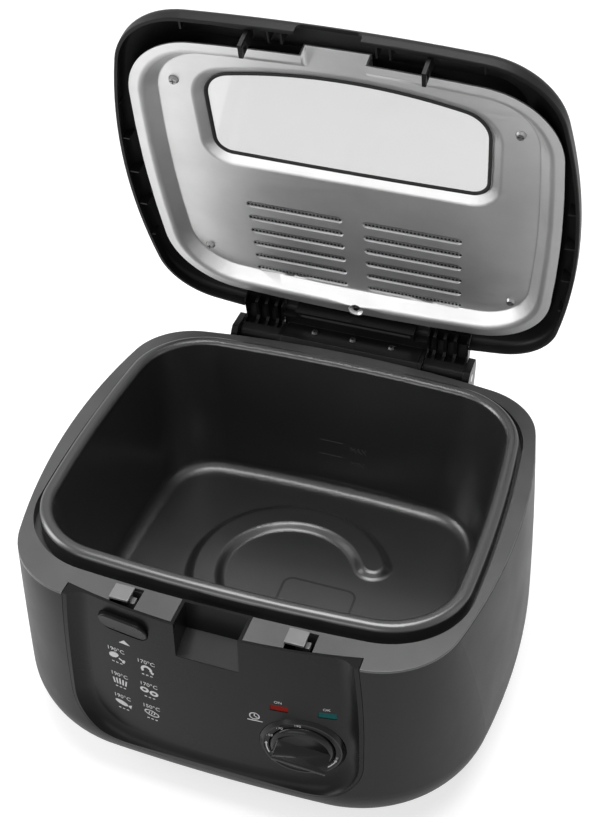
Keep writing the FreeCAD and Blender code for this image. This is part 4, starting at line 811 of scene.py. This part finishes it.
def softened_mesh(node, name, rounds, axis=None, flat_angle=1.0):
    """A copy of a CAD node's mesh with its creases rounded.

    Each round has two angles in degrees, a width and a count, for the creases between those angles.
    With an axis, a crease counts only where the faces on both its sides look along that axis, up or
    down, and where it lies between the round's two heights along the axis.
    """
    bm = merged_copy(node, flat_angle)
    for least, most, width, segments, *heights in rounds:
        bm.normal_update()
        creases = []
        for edge in bm.edges:
            if not least < math.degrees(edge.calc_face_angle(0.0)) < most:
                continue
            if axis is not None:
                if any(abs(face.normal.dot(axis)) < FACING for face in edge.link_faces):
                    continue
                if heights and not heights[0] < edge.verts[0].co.dot(axis) < heights[1]:
                    continue
            creases.append(edge)
        bmesh.ops.bevel(bm, geom=creases, offset=width, offset_type="OFFSET", segments=segments,
                        profile=0.5, affect="EDGES", clamp_overlap=False, loop_slide=True)
    return evenly_shaded(bm, name)


def closed_knob_mesh(name):
    """A copy of the knob with the bore for its spindle closed, because it breaks through the grip."""
    bm = merged_copy("temperature_knob", 0.0)
    reach = sizes().knob_bore
    end_on = -0.9
    bore = []
    for face in bm.faces:
        arms = [corner.co - KNOB_CENTRE for corner in face.verts]
        if all((arm - KNOB_AXIS * arm.dot(KNOB_AXIS)).length < reach for arm in arms):
            out = face.normal.dot(KNOB_AXIS)
            if abs(out) < FACING or out < end_on:
                bore.append(face)
    bmesh.ops.delete(bm, geom=bore, context="FACES")
    edges = [edge for edge in bm.edges if edge.is_boundary]
    bmesh.ops.holes_fill(bm, edges=edges, sides=0)
    return evenly_shaded(bm, name)


def short_spindle_mesh(name):
    """A copy of the thermostat's shaft that ends inside the knob's grip."""
    bm = merged_copy("thermostat_shaft", 0.0)
    for corner in bm.verts:
        over = (corner.co - KNOB_CENTRE).dot(KNOB_AXIS) - sizes().spindle_end
        if over > 0.0:
            corner.co -= KNOB_AXIS * over
    return evenly_shaded(bm, name)


def fitted_pane_mesh(name):
    """A copy of the pane with a little room round its edge, so that it shares no face with the lid."""
    bm = merged_copy("window_glass", 0.0)
    bm.normal_update()
    ways = [corner.normal - LID_UP * corner.normal.dot(LID_UP) for corner in bm.verts]
    for corner, way in zip(bm.verts, ways):
        if way.length > FACING:
            corner.co -= way.normalized() * sizes().pane_room
    return evenly_shaded(bm, name)


def in_open_lid(x, y, z):
    """A point of the closed lid, about the pot's middle, where the open lid has it."""
    return HINGE + LID_TURN @ (Vector((x, y + PLAN_SHIFT, z)) - HINGE)


class FRYER_OT_finishes(bpy.types.Operator):
    """Gives the CAD nodes listed here their materials."""

    bl_idname = "fryer.finishes"
    bl_label = "Finishes"

    def execute(self, context):
        tint = colours()
        give(plastic("housing_plastic", tint.plastic, (0.40, 0.48), 0.13), "housing_shell", "base_plate")
        # The top ring's lighter black is partly painted light for its lit flat top.
        give(plastic("rim_plastic_painted_light", tint.rim, (0.34, 0.42), 0.6), "rim_ring")
        give(plastic("hook_plastic", tint.hook, (0.30, 0.38), 0.6), "latch_bar")
        give(plastic("hinge_plastic", tint.panel, (0.28, 0.36), 0.14), "latch_guides", "hinge_bracket",
             "lid_hinge_arms")
        give(plastic("lid_plastic", tint.panel, (0.38, 0.46), 0.16), "lid_shell", "lid_strikers")
        give(plastic("panel_plastic", tint.panel, (0.26, 0.32), 0.10), "front_panel", "release_button")
        give(plastic("knob_plastic", tint.panel, (0.16, 0.22), 0.20, 3200.0, 0.05),
             "temperature_knob", "knob_bezel")
        give(coated("pot_coating", tint.coating), "pot")
        give(sheet_metal("lid_plate_aluminium", tint.aluminium), "lid_inner_plate")
        give(sheet_metal("hardware_steel", tint.steel, (0.25, 0.38), 1400.0), "hinge_pins", "hinge_springs",
             "thermostat_shaft", "shield_bolt", "element_terminals", "heating_element",
             "thermostat_sensor", "thermostat_body", "heat_shield", "thermal_fuse")
        give(plastic("soft_rubber", tint.rubber, (0.6, 0.75), 0.3, 1600.0, 0.2), "rubber_feet",
             "window_gasket", "cord_grommet")
        give(plastic("filter_fleece", (0.02, 0.02, 0.02), (0.8, 0.95), 0.1, 900.0, 0.6), "filter_pad")
        give(plastic("terminal_plastic", (0.55, 0.53, 0.48), (0.4, 0.5)), "terminal_block", "neon_lamps")
        give(lens("power_lens_red", tint.red_lens), "power_lens")
        give(lens("ready_lens_teal", tint.teal_lens), "ready_lens")
        give(glass("window_pane"), "window_glass")
        return {"FINISHED"}


class FRYER_OT_panel_print(bpy.types.Operator):
    """Prints the food marks, the release mark and the lamp marks on the front panel."""

    bl_idname = "fryer.panel_print"
    bl_label = "Panel print"

    def execute(self, context):
        size = sizes()
        pen = Pen(panel_surface(), size.print_lift, size.print_sink)
        rows = (
            (-0.0610, 0.1190, "190\u00b0C", print_drumstick), (-0.0610, 0.0945, "190\u00b0C", print_chips),
            (-0.0610, 0.0725, "190\u00b0C", print_fish), (-0.0405, 0.1175, "170\u00b0C", print_shrimp),
            (-0.0405, 0.0955, "170\u00b0C", print_rings), (-0.0405, 0.0735, "150\u00b0C", print_roll),
        )
        number_rise = 0.0062
        dash_drop = 0.0058
        dash_start = -0.0036
        dash_step = 0.0028
        dash_length = 0.0016
        stroke = 0.0008
        lamp_word_rise = 0.1190
        for x, z, words, draw in rows:
            pen.words(words, (x, z + number_rise), size.number_height)
            draw(pen, x, z)
            for count in range(3):
                left = x + dash_start + count * dash_step
                pen.patch(bar((left, z - dash_drop), (left + dash_length, z - dash_drop), stroke))
        release_arrow = [(-0.0578, 0.1342), (-0.0502, 0.1342), (-0.0540, 0.1378)]
        pen.patch(release_arrow)
        for words, x in (("ON", 0.0425), ("OK", 0.0712)):
            pen.words(words, (x, lamp_word_rise), size.lamp_word_height)
        print_clock(pen, 0.028, 0.1016)
        pen.patch(bar((0.0236, 0.0972), (0.0330, 0.0972), stroke))
        new_piece("panel_print", pen.mesh("panel_print"), ink("panel_ink", colours().ink), "housing")
        return {"FINISHED"}


class FRYER_OT_dial_scale(bpy.types.Operator):
    """Makes the flat ring inside the bezel's collar, which carries the figures."""

    bl_idname = "fryer.dial_scale"
    bl_label = "Dial scale"

    def execute(self, context):
        size = sizes()
        inner = size.scale_inner
        outer = size.scale_outer
        top = size.scale_height
        profile = ((inner, -0.0008), (inner, top - 0.0003), (inner + 0.0003, top),
                   (outer - 0.0002, top), (outer, top - 0.0002), (outer - 0.0004, 0.0012))
        bm = bmesh.new()
        rings = []
        for count in range(size.scale_sides):
            angle = 2.0 * math.pi * count / size.scale_sides
            way = KNOB_RIGHT * math.cos(angle) + KNOB_UP * math.sin(angle)
            rings.append([bm.verts.new(KNOB_CENTRE + way * reach + KNOB_AXIS * out)
                          for reach, out in profile])
        join_rings(bm, rings)
        mesh = finished_mesh(bm, "dial_scale_ring")
        finish = plastic("scale_plastic", colours().panel, (0.34, 0.42), 0.14)
        new_piece("dial_scale_ring", mesh, finish, "housing")
        return {"FINISHED"}


class FRYER_OT_dial_print(bpy.types.Operator):
    """Prints the figures and the two turning marks round the knob."""

    bl_idname = "fryer.dial_print"
    bl_label = "Dial print"

    def execute(self, context):
        size = sizes()
        pen = Pen(dial_surface(), size.print_lift, size.print_sink)
        for words, angle in (("150", 157.0), ("170", 130.0), ("190", 98.0), ("0", -13.0)):
            pen.words(words, around(size.dial_reach, angle), size.dial_number_height)
        reach = size.arrow_reach
        stroke = 0.0008
        half_head = 0.0011
        head_angle = 5.0
        for first, last in ((180.0, 204.0), (-22.0, -58.0)):
            pen.arc((0.0, 0.0), reach, stroke, first, last)
            tip = first + math.copysign(head_angle, first - last)
            pen.patch([around(reach - half_head, first), around(reach + half_head, first),
                       around(reach, tip)])
        new_piece("dial_print", pen.mesh("dial_print"), ink("dial_ink", colours().ink), "housing")
        return {"FINISHED"}


class FRYER_OT_pot_marks(bpy.types.Operator):
    """Marks the oil levels on the pot's back wall, and lays the pressed square on its floor as a thin dark
    ring of painted shade.
    """

    bl_idname = "fryer.pot_marks"
    bl_label = "Pot marks"

    def execute(self, context):
        size = sizes()
        wall = Pen(pot_wall_surface(), size.print_lift, size.print_sink)
        line_width = 0.0006
        for words, z in (("MAX", 0.107), ("MIN", 0.0945)):
            wall.patch(bar((-0.010, z), (0.007, z), line_width))
            wall.words(words, (0.019, z - 0.004), size.level_height)
        new_piece("pot_level_marks", wall.mesh("pot_level_marks"),
                  ink("level_mark", colours().level), "housing")
        floor = Pen(pot_floor_surface(), size.print_lift, size.print_sink)
        middle = (0.0235, -0.0175 + PLAN_SHIFT)
        half = 0.0265
        corner = 0.006
        inner = rounded_square(middle, half - size.mark_width, corner)
        outer = rounded_square(middle, half, corner + size.mark_width)
        # The square is a thin dark ring standing off the floor: painted shade for the bottom of its pressed
        # groove.
        floor.ring(inner, outer)
        new_piece("pot_floor_mark", floor.mesh("pot_floor_mark"),
                  ink("floor_mark_painted_shade", colours().mark), "housing")
        return {"FINISHED"}


class FRYER_OT_screws(bpy.types.Operator):
    """Puts cross-headed screws in place of the plain ones."""

    bl_idname = "fryer.screws"
    bl_label = "Screws"

    def execute(self, context):
        size = sizes()
        tree = screw_tree()
        steel = sheet_metal("screw_steel", shade(colours().steel, 0.6)[:3], (0.28, 0.40), 1800.0)
        # Painted shade: a darkened copy of the screw steel, which dims the rear lid screw and the hinge
        # screws.
        dark = sheet_metal("screw_steel_painted_shade", shade(colours().steel, 0.12)[:3], (0.3, 0.42), 1800.0)
        plate_height = 0.1846
        lid_points = [in_open_lid(x, y, plate_height) for x in (-0.1095, 0.1095) for y in (-0.0762, 0.0846)]
        rear_point = in_open_lid(0.0, 0.1171, 0.1778)
        hinge_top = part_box("hinge_screws")[1][2]
        hinge_points = [(x, HINGE.y + 0.0015, hinge_top - 0.0016) for x in (-0.029, 0.0, 0.029)]
        base_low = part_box("base_screws")[0][2]
        base_points = [(x, y + PLAN_SHIFT, base_low + 0.002)
                       for x in (-0.112, 0.112) for y in (-0.048, 0.052)]
        wide = size.screw_radius
        lid_turn = math.pi - LID_OPEN
        # A name, the node it stands for, a body and its points, then the head's radius and height,
        # the shank's length, the turn about X and the finish.
        groups = (
            ("lid_screw_heads", "lid_screws", "lid", lid_points,
             wide, 0.002, 0.006, lid_turn, steel),
            ("lid_rear_screw_head", "lid_screws", "lid", [rear_point],
             wide * 0.75, 0.0014, 0.006, lid_turn, dark),
            ("hinge_screw_heads", "hinge_screws", "housing", hinge_points,
             wide * 0.8, 0.0014, 0.005, 0.0, dark),
            ("base_screw_heads", "base_screws", "housing", base_points,
             wide, 0.002, 0.013, math.pi, steel),
        )
        for name, node, body, points, radius, head, shank, turn, metal in groups:
            mesh = grown_mesh(name, tree, points, {
                "Head Radius": radius, "Head Height": head, "Shank Radius": size.shank_radius,
                "Shank Length": shank, "Sides": size.screw_sides, "Turn": (turn, 0.0, 0.0),
                "Finish": metal})
            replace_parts(new_piece(name, mesh, metal, body), node)
        return {"FINISHED"}


class FRYER_OT_soft_edges(bpy.types.Operator):
    """Puts pieces with rounded creases and edges in place of the sharp ones."""

    bl_idname = "fryer.soft_edges"
    bl_label = "Soft edges"

    def execute(self, context):
        size = sizes()
        pressed = size.press_round
        moulded = size.edge_round
        # Heights along the lid's own axis: the plate's flange lies between the first two of them and
        # its flat between the last two.
        flange, between, top = (in_open_lid(0.0, 0.0, z).dot(LID_UP) for z in (0.17, 0.18, 0.187))
        plate_rounds = (
            (40.0, 58.0, pressed, 4, flange, between),
            (40.0, 58.0, pressed * 0.28, 3, between, top),
            (25.0, 38.0, pressed * 0.5, 3, between, top),
        )
        meshes = (
            ("lid_inner_plate", "lid", "aluminium", softened_mesh(
                "lid_inner_plate", "lid_plate_pressed", plate_rounds, LID_UP)),
            ("pot", "housing", "nonstick", softened_mesh(
                "pot", "pot_pressed", ((35.0, 45.0, pressed * 0.6, 3),), UPWARD, 0.2)),
            ("latch_bar", "latch", "black_plastic", softened_mesh(
                "latch_bar", "latch_hooks", ((60.0, 120.0, moulded, 2),))),
            ("hinge_bracket", "housing", "black_plastic", softened_mesh(
                "hinge_bracket", "hinge_bracket_moulded", ((60.0, 120.0, moulded, 2),))),
            ("window_glass", "lid", "window", fitted_pane_mesh("window_pane_fitted")),
            ("temperature_knob", "knob", "panel_plastic", closed_knob_mesh("knob_moulded")),
            ("thermostat_shaft", "knob", "steel", short_spindle_mesh("thermostat_spindle")),
        )
        for node, body, slot, mesh in meshes:
            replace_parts(new_piece(mesh.name, mesh, finish_of(node), body), node)
        return {"FINISHED"}


class FRYER_OT_window_lip(bpy.types.Operator):
    """Makes the gasket's lip, which lies on the pane inside the plate's window."""

    bl_idname = "fryer.window_lip"
    bl_label = "Window lip"

    def execute(self, context):
        pane = merged_copy("window_glass", 0.0)
        rim = set()
        for edge in pane.edges:
            if sum(face.normal.dot(LID_UP) < -FACING for face in edge.link_faces) == 1:
                rim.update(edge.verts)
        back_turn = LID_TURN.inverted()
        spots = [back_turn @ (corner.co - HINGE) for corner in pane.verts if corner in rim]
        pane.free()
        middle = sum(spots, Vector()) / len(spots)
        loop = sorted(spots, key=lambda spot: math.atan2(spot.y - middle.y, spot.x - middle.x))
        lap = sizes().pane_lap
        profile = ((lap, 0.0), (lap, -0.0008), (lap + 0.0004, -0.0012), (lap + 0.0016, -0.0011),
                   (lap + 0.0024, -0.0005), (lap + 0.0026, 0.0))
        reach = profile[-1][0]
        nearest = reach * 0.96
        bm = bmesh.new()
        rings = []
        for i, spot in enumerate(loop):
            along = (loop[(i + 1) % len(loop)] - loop[i - 1]).normalized()
            inward = Vector((-along.y, along.x, 0.0)).normalized()
            # A point that would cross its neighbours at a corner is left out.
            if min((spot + inward * reach - other).length for other in loop) < nearest:
                continue
            places = [spot + inward * depth + Vector((0.0, 0.0, rise)) for depth, rise in profile]
            rings.append([bm.verts.new(HINGE + LID_TURN @ place) for place in places])
        join_rings(bm, rings)
        mesh = evenly_shaded(bm, "window_gasket_lip")
        new_piece("window_gasket_lip", mesh, finish_of("window_gasket"), "lid")
        return {"FINISHED"}


class FRYER_OT_bracket_ends(bpy.types.Operator):
    """Makes the two round ends of the hinge bracket, between its middle and the lid's arms."""

    bl_idname = "fryer.bracket_ends"
    bl_label = "Bracket ends"

    def execute(self, context):
        size = sizes()
        bm = bmesh.new()
        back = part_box("hinge_bracket")[1][1]
        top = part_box("hinge_bracket")[1][2]
        for side in (-1.0, 1.0):
            near = side * size.bracket_end
            far = side * (size.bracket_end + size.bracket_end_width)
            rings = []
            for count in range(BRACKET_SIDES):
                angle = 2.0 * math.pi * count / BRACKET_SIDES
                out = size.bracket_round
                rim = (out * math.cos(angle), min(out * math.sin(angle), size.bracket_flat))
                bore = (size.pin_hole * math.cos(angle), size.pin_hole * math.sin(angle))
                corners = ((near, bore), (near, rim), (far, rim), (far, bore))
                rings.append([bm.verts.new((x, HINGE.y + y, HINGE.z + z)) for x, (y, z) in corners])
            join_rings(bm, rings)
            low = Vector((near, back - size.upstand_depth, HINGE.z + size.bracket_flat))
            high = Vector((far, back, top))
            place = Matrix.LocRotScale((low + high) / 2.0, None, high - low)
            bmesh.ops.create_cube(bm, size=1.0, matrix=place)
        mesh = evenly_shaded(bm, "hinge_bracket_ends")
        new_piece("hinge_bracket_ends", mesh, finish_of("hinge_bracket"), "housing")
        return {"FINISHED"}


class FRYER_OT_filter_sheet(bpy.types.Operator):
    """Puts a perforated sheet in place of the plain one behind the lid's slots."""

    bl_idname = "fryer.filter_sheet"
    bl_label = "Filter sheet"

    def execute(self, context):
        size = sizes()
        metal = sheet_metal("filter_steel", colours().steel, (0.3, 0.42), 1600.0)
        rows = 23
        columns = 60
        thickness = 0.0005
        height = 0.1856
        first_slot = 0.0314
        rows_to_middle = 10.0
        middle = first_slot + size.row_pitch * (rows_to_middle + size.row_shift)
        mesh = grown_mesh("filter_sheet", perforated_tree(), [(0.0, 0.0, 0.0)], {
            "Width": size.mesh_pitch * columns, "Depth": size.row_pitch * rows, "Thickness": thickness,
            "Pitch": size.mesh_pitch, "Row Pitch": size.row_pitch,
            "Hole": size.mesh_hole, "Turn": (-LID_OPEN, 0.0, 0.0),
            "Place": in_open_lid(0.0, middle, height), "Finish": metal})
        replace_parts(new_piece("filter_sheet", mesh, metal, "lid"), "filter_mesh")
        return {"FINISHED"}


def seen_directly(tree):
    """One for what the camera sees itself, in a mirror or through glass, and nothing otherwise."""
    path = tree.nodes.new("ShaderNodeLightPath").outputs
    total = path["Is Camera Ray"]
    for label in ("Is Glossy Ray", "Is Transmission Ray"):
        total = maths(tree, "MAXIMUM", total, path[label])
    return total


class FRYER_OT_stage(bpy.types.Operator):
    """Sets the floor, the lights and the camera."""

    bl_idname = "fryer.stage"
    bl_label = "Stage"
    FLOOR_LIFT = 0.70
    WORLD_LIGHT = 0.18

    def execute(self, context):
        self.floor(context)
        self.world(context)
        self.lights(context)
        self.camera(context)
        context.scene.view_settings.view_transform = "Standard"
        return {"FINISHED"}

    def floor(self, context):
        reach = 6.0
        corners = [(-reach, -reach, 0), (reach, -reach, 0), (reach, reach, 0), (-reach, reach, 0)]
        mesh = bpy.data.meshes.new("floor")
        mesh.from_pydata(corners, [], [(0, 1, 2, 3)])
        floor = held(mesh, "floor")
        finish = Finish("floor_paint")
        parts = finish.use("moulded_grain", grain_group, Cloud=3.0)
        tint = colours().floor
        finish.paint(parts["Cloud"], shade(tint, 0.99), shade(tint, 1.01))
        finish.set(Roughness=0.9, Specular_IOR_Level=0.1, Emission_Color=(1.0, 1.0, 1.0, 1.0))
        lift = maths(finish.tree, "MULTIPLY", seen_directly(finish.tree), self.FLOOR_LIFT)
        finish.link(lift, "Emission Strength")
        mesh.materials.append(finish.material)

    def world(self, context):
        world = bpy.data.worlds.new("studio")
        context.scene.world = world
        world.use_nodes = True
        tree = world.node_tree
        light = tree.nodes["Background"]
        light.inputs["Color"].default_value = (1.0, 1.0, 1.0, 1.0)
        light.inputs["Strength"].default_value = self.WORLD_LIGHT
        seen = tree.nodes.new("ShaderNodeBackground")
        seen.inputs["Strength"].default_value = 1.0
        mix = tree.nodes.new("ShaderNodeMixShader")
        tree.links.new(seen_directly(tree), mix.inputs["Fac"])
        tree.links.new(light.outputs[0], mix.inputs[1])
        tree.links.new(seen.outputs[0], mix.inputs[2])
        tree.links.new(mix.outputs[0], tree.nodes["World Output"].inputs["Surface"])

    def lights(self, context):
        boxes = (
            ("top_box", (0.0, 0.1, 1.9), (0.0, 0.0, 0.2), 1.3, 1.3, 42.0),
            ("left_box", (-1.8, -0.4, 0.8), (0.0, 0.0, 0.15), 1.0, 1.2, 24.0),
            ("front_box", (-0.5, -2.3, 0.75), (0.0, 0.0, 0.3), 2.0, 0.9, 13.0),
            ("right_box", (1.9, 0.2, 0.8), (0.0, 0.0, 0.15), 0.8, 1.2, 2.0),
        )
        for name, place, aim, width, height, power in boxes:
            lamp = bpy.data.lights.new(name, "AREA")
            lamp.shape = "RECTANGLE"
            lamp.size = width
            lamp.size_y = height
            lamp.energy = power
            holder = held(lamp, name)
            holder.location = place
            holder.rotation_euler = (Vector(aim) - Vector(place)).to_track_quat("-Z", "Y").to_euler()

    def camera(self, context):
        stand = context.scene.fryer_camera
        aim_height = 0.175
        target = Vector((0.0, PLAN_SHIFT, aim_height))
        back = Vector((math.sin(stand.azimuth) * math.cos(stand.elevation),
                       -math.cos(stand.azimuth) * math.cos(stand.elevation), math.sin(stand.elevation)))
        right = UPWARD.cross(back).normalized()
        up = back.cross(right)
        turned_right = right * math.cos(stand.roll) + up * math.sin(stand.roll)
        turned_up = up * math.cos(stand.roll) - right * math.sin(stand.roll)
        place = target + back * stand.distance + turned_right * stand.right + turned_up * stand.up
        lens_data = bpy.data.cameras.new("camera")
        lens_data.sensor_width = 36.0
        lens_data.lens = stand.lens
        lens_data.clip_start = 0.05
        camera = held(lens_data, "camera")
        camera.matrix_world = Matrix((
            (turned_right.x, turned_up.x, back.x, place.x),
            (turned_right.y, turned_up.y, back.y, place.y),
            (turned_right.z, turned_up.z, back.z, place.z),
            (0.0, 0.0, 0.0, 1.0)))
        context.scene.camera = camera


class FRYER_PT_looks(bpy.types.Panel):
    """Buttons and values for the fryer's looks."""

    bl_idname = "FRYER_PT_looks"
    bl_label = "Fryer looks"
    bl_space_type = "VIEW_3D"
    bl_region_type = "UI"
    bl_category = "Fryer"

    def draw(self, context):
        column = self.layout.column()
        for step in STEPS:
            column.operator(step)
        for group in (context.scene.fryer_sizes, context.scene.fryer_colours, context.scene.fryer_camera):
            for name in group.__annotations__:
                column.prop(group, name)


STEPS = ("fryer.finishes", "fryer.panel_print", "fryer.dial_scale", "fryer.dial_print",
         "fryer.pot_marks", "fryer.soft_edges", "fryer.window_lip", "fryer.bracket_ends",
         "fryer.screws", "fryer.filter_sheet", "fryer.stage")
CLASSES = (FryerSizes, FryerColours, FryerCamera, FRYER_OT_finishes, FRYER_OT_panel_print,
           FRYER_OT_dial_scale, FRYER_OT_dial_print, FRYER_OT_pot_marks, FRYER_OT_soft_edges,
           FRYER_OT_window_lip, FRYER_OT_bracket_ends, FRYER_OT_screws, FRYER_OT_filter_sheet,
           FRYER_OT_stage, FRYER_PT_looks)


def register():
    for item in CLASSES:
        bpy.utils.register_class(item)
    bpy.types.Scene.fryer_sizes = PointerProperty(type=FryerSizes)
    bpy.types.Scene.fryer_colours = PointerProperty(type=FryerColours)
    bpy.types.Scene.fryer_camera = PointerProperty(type=FryerCamera)


def unregister():
    del bpy.types.Scene.fryer_camera
    del bpy.types.Scene.fryer_colours
    del bpy.types.Scene.fryer_sizes
    for item in reversed(CLASSES):
        bpy.utils.unregister_class(item)


def main():
    register()
    bpy.ops.fryer.finishes()
    bpy.ops.fryer.panel_print()
    bpy.ops.fryer.dial_scale()
    bpy.ops.fryer.dial_print()
    bpy.ops.fryer.pot_marks()
    bpy.ops.fryer.soft_edges()
    bpy.ops.fryer.window_lip()
    bpy.ops.fryer.bracket_ends()
    bpy.ops.fryer.screws()
    bpy.ops.fryer.filter_sheet()
    bpy.ops.fryer.stage()


if __name__ == "__main__":
    main()
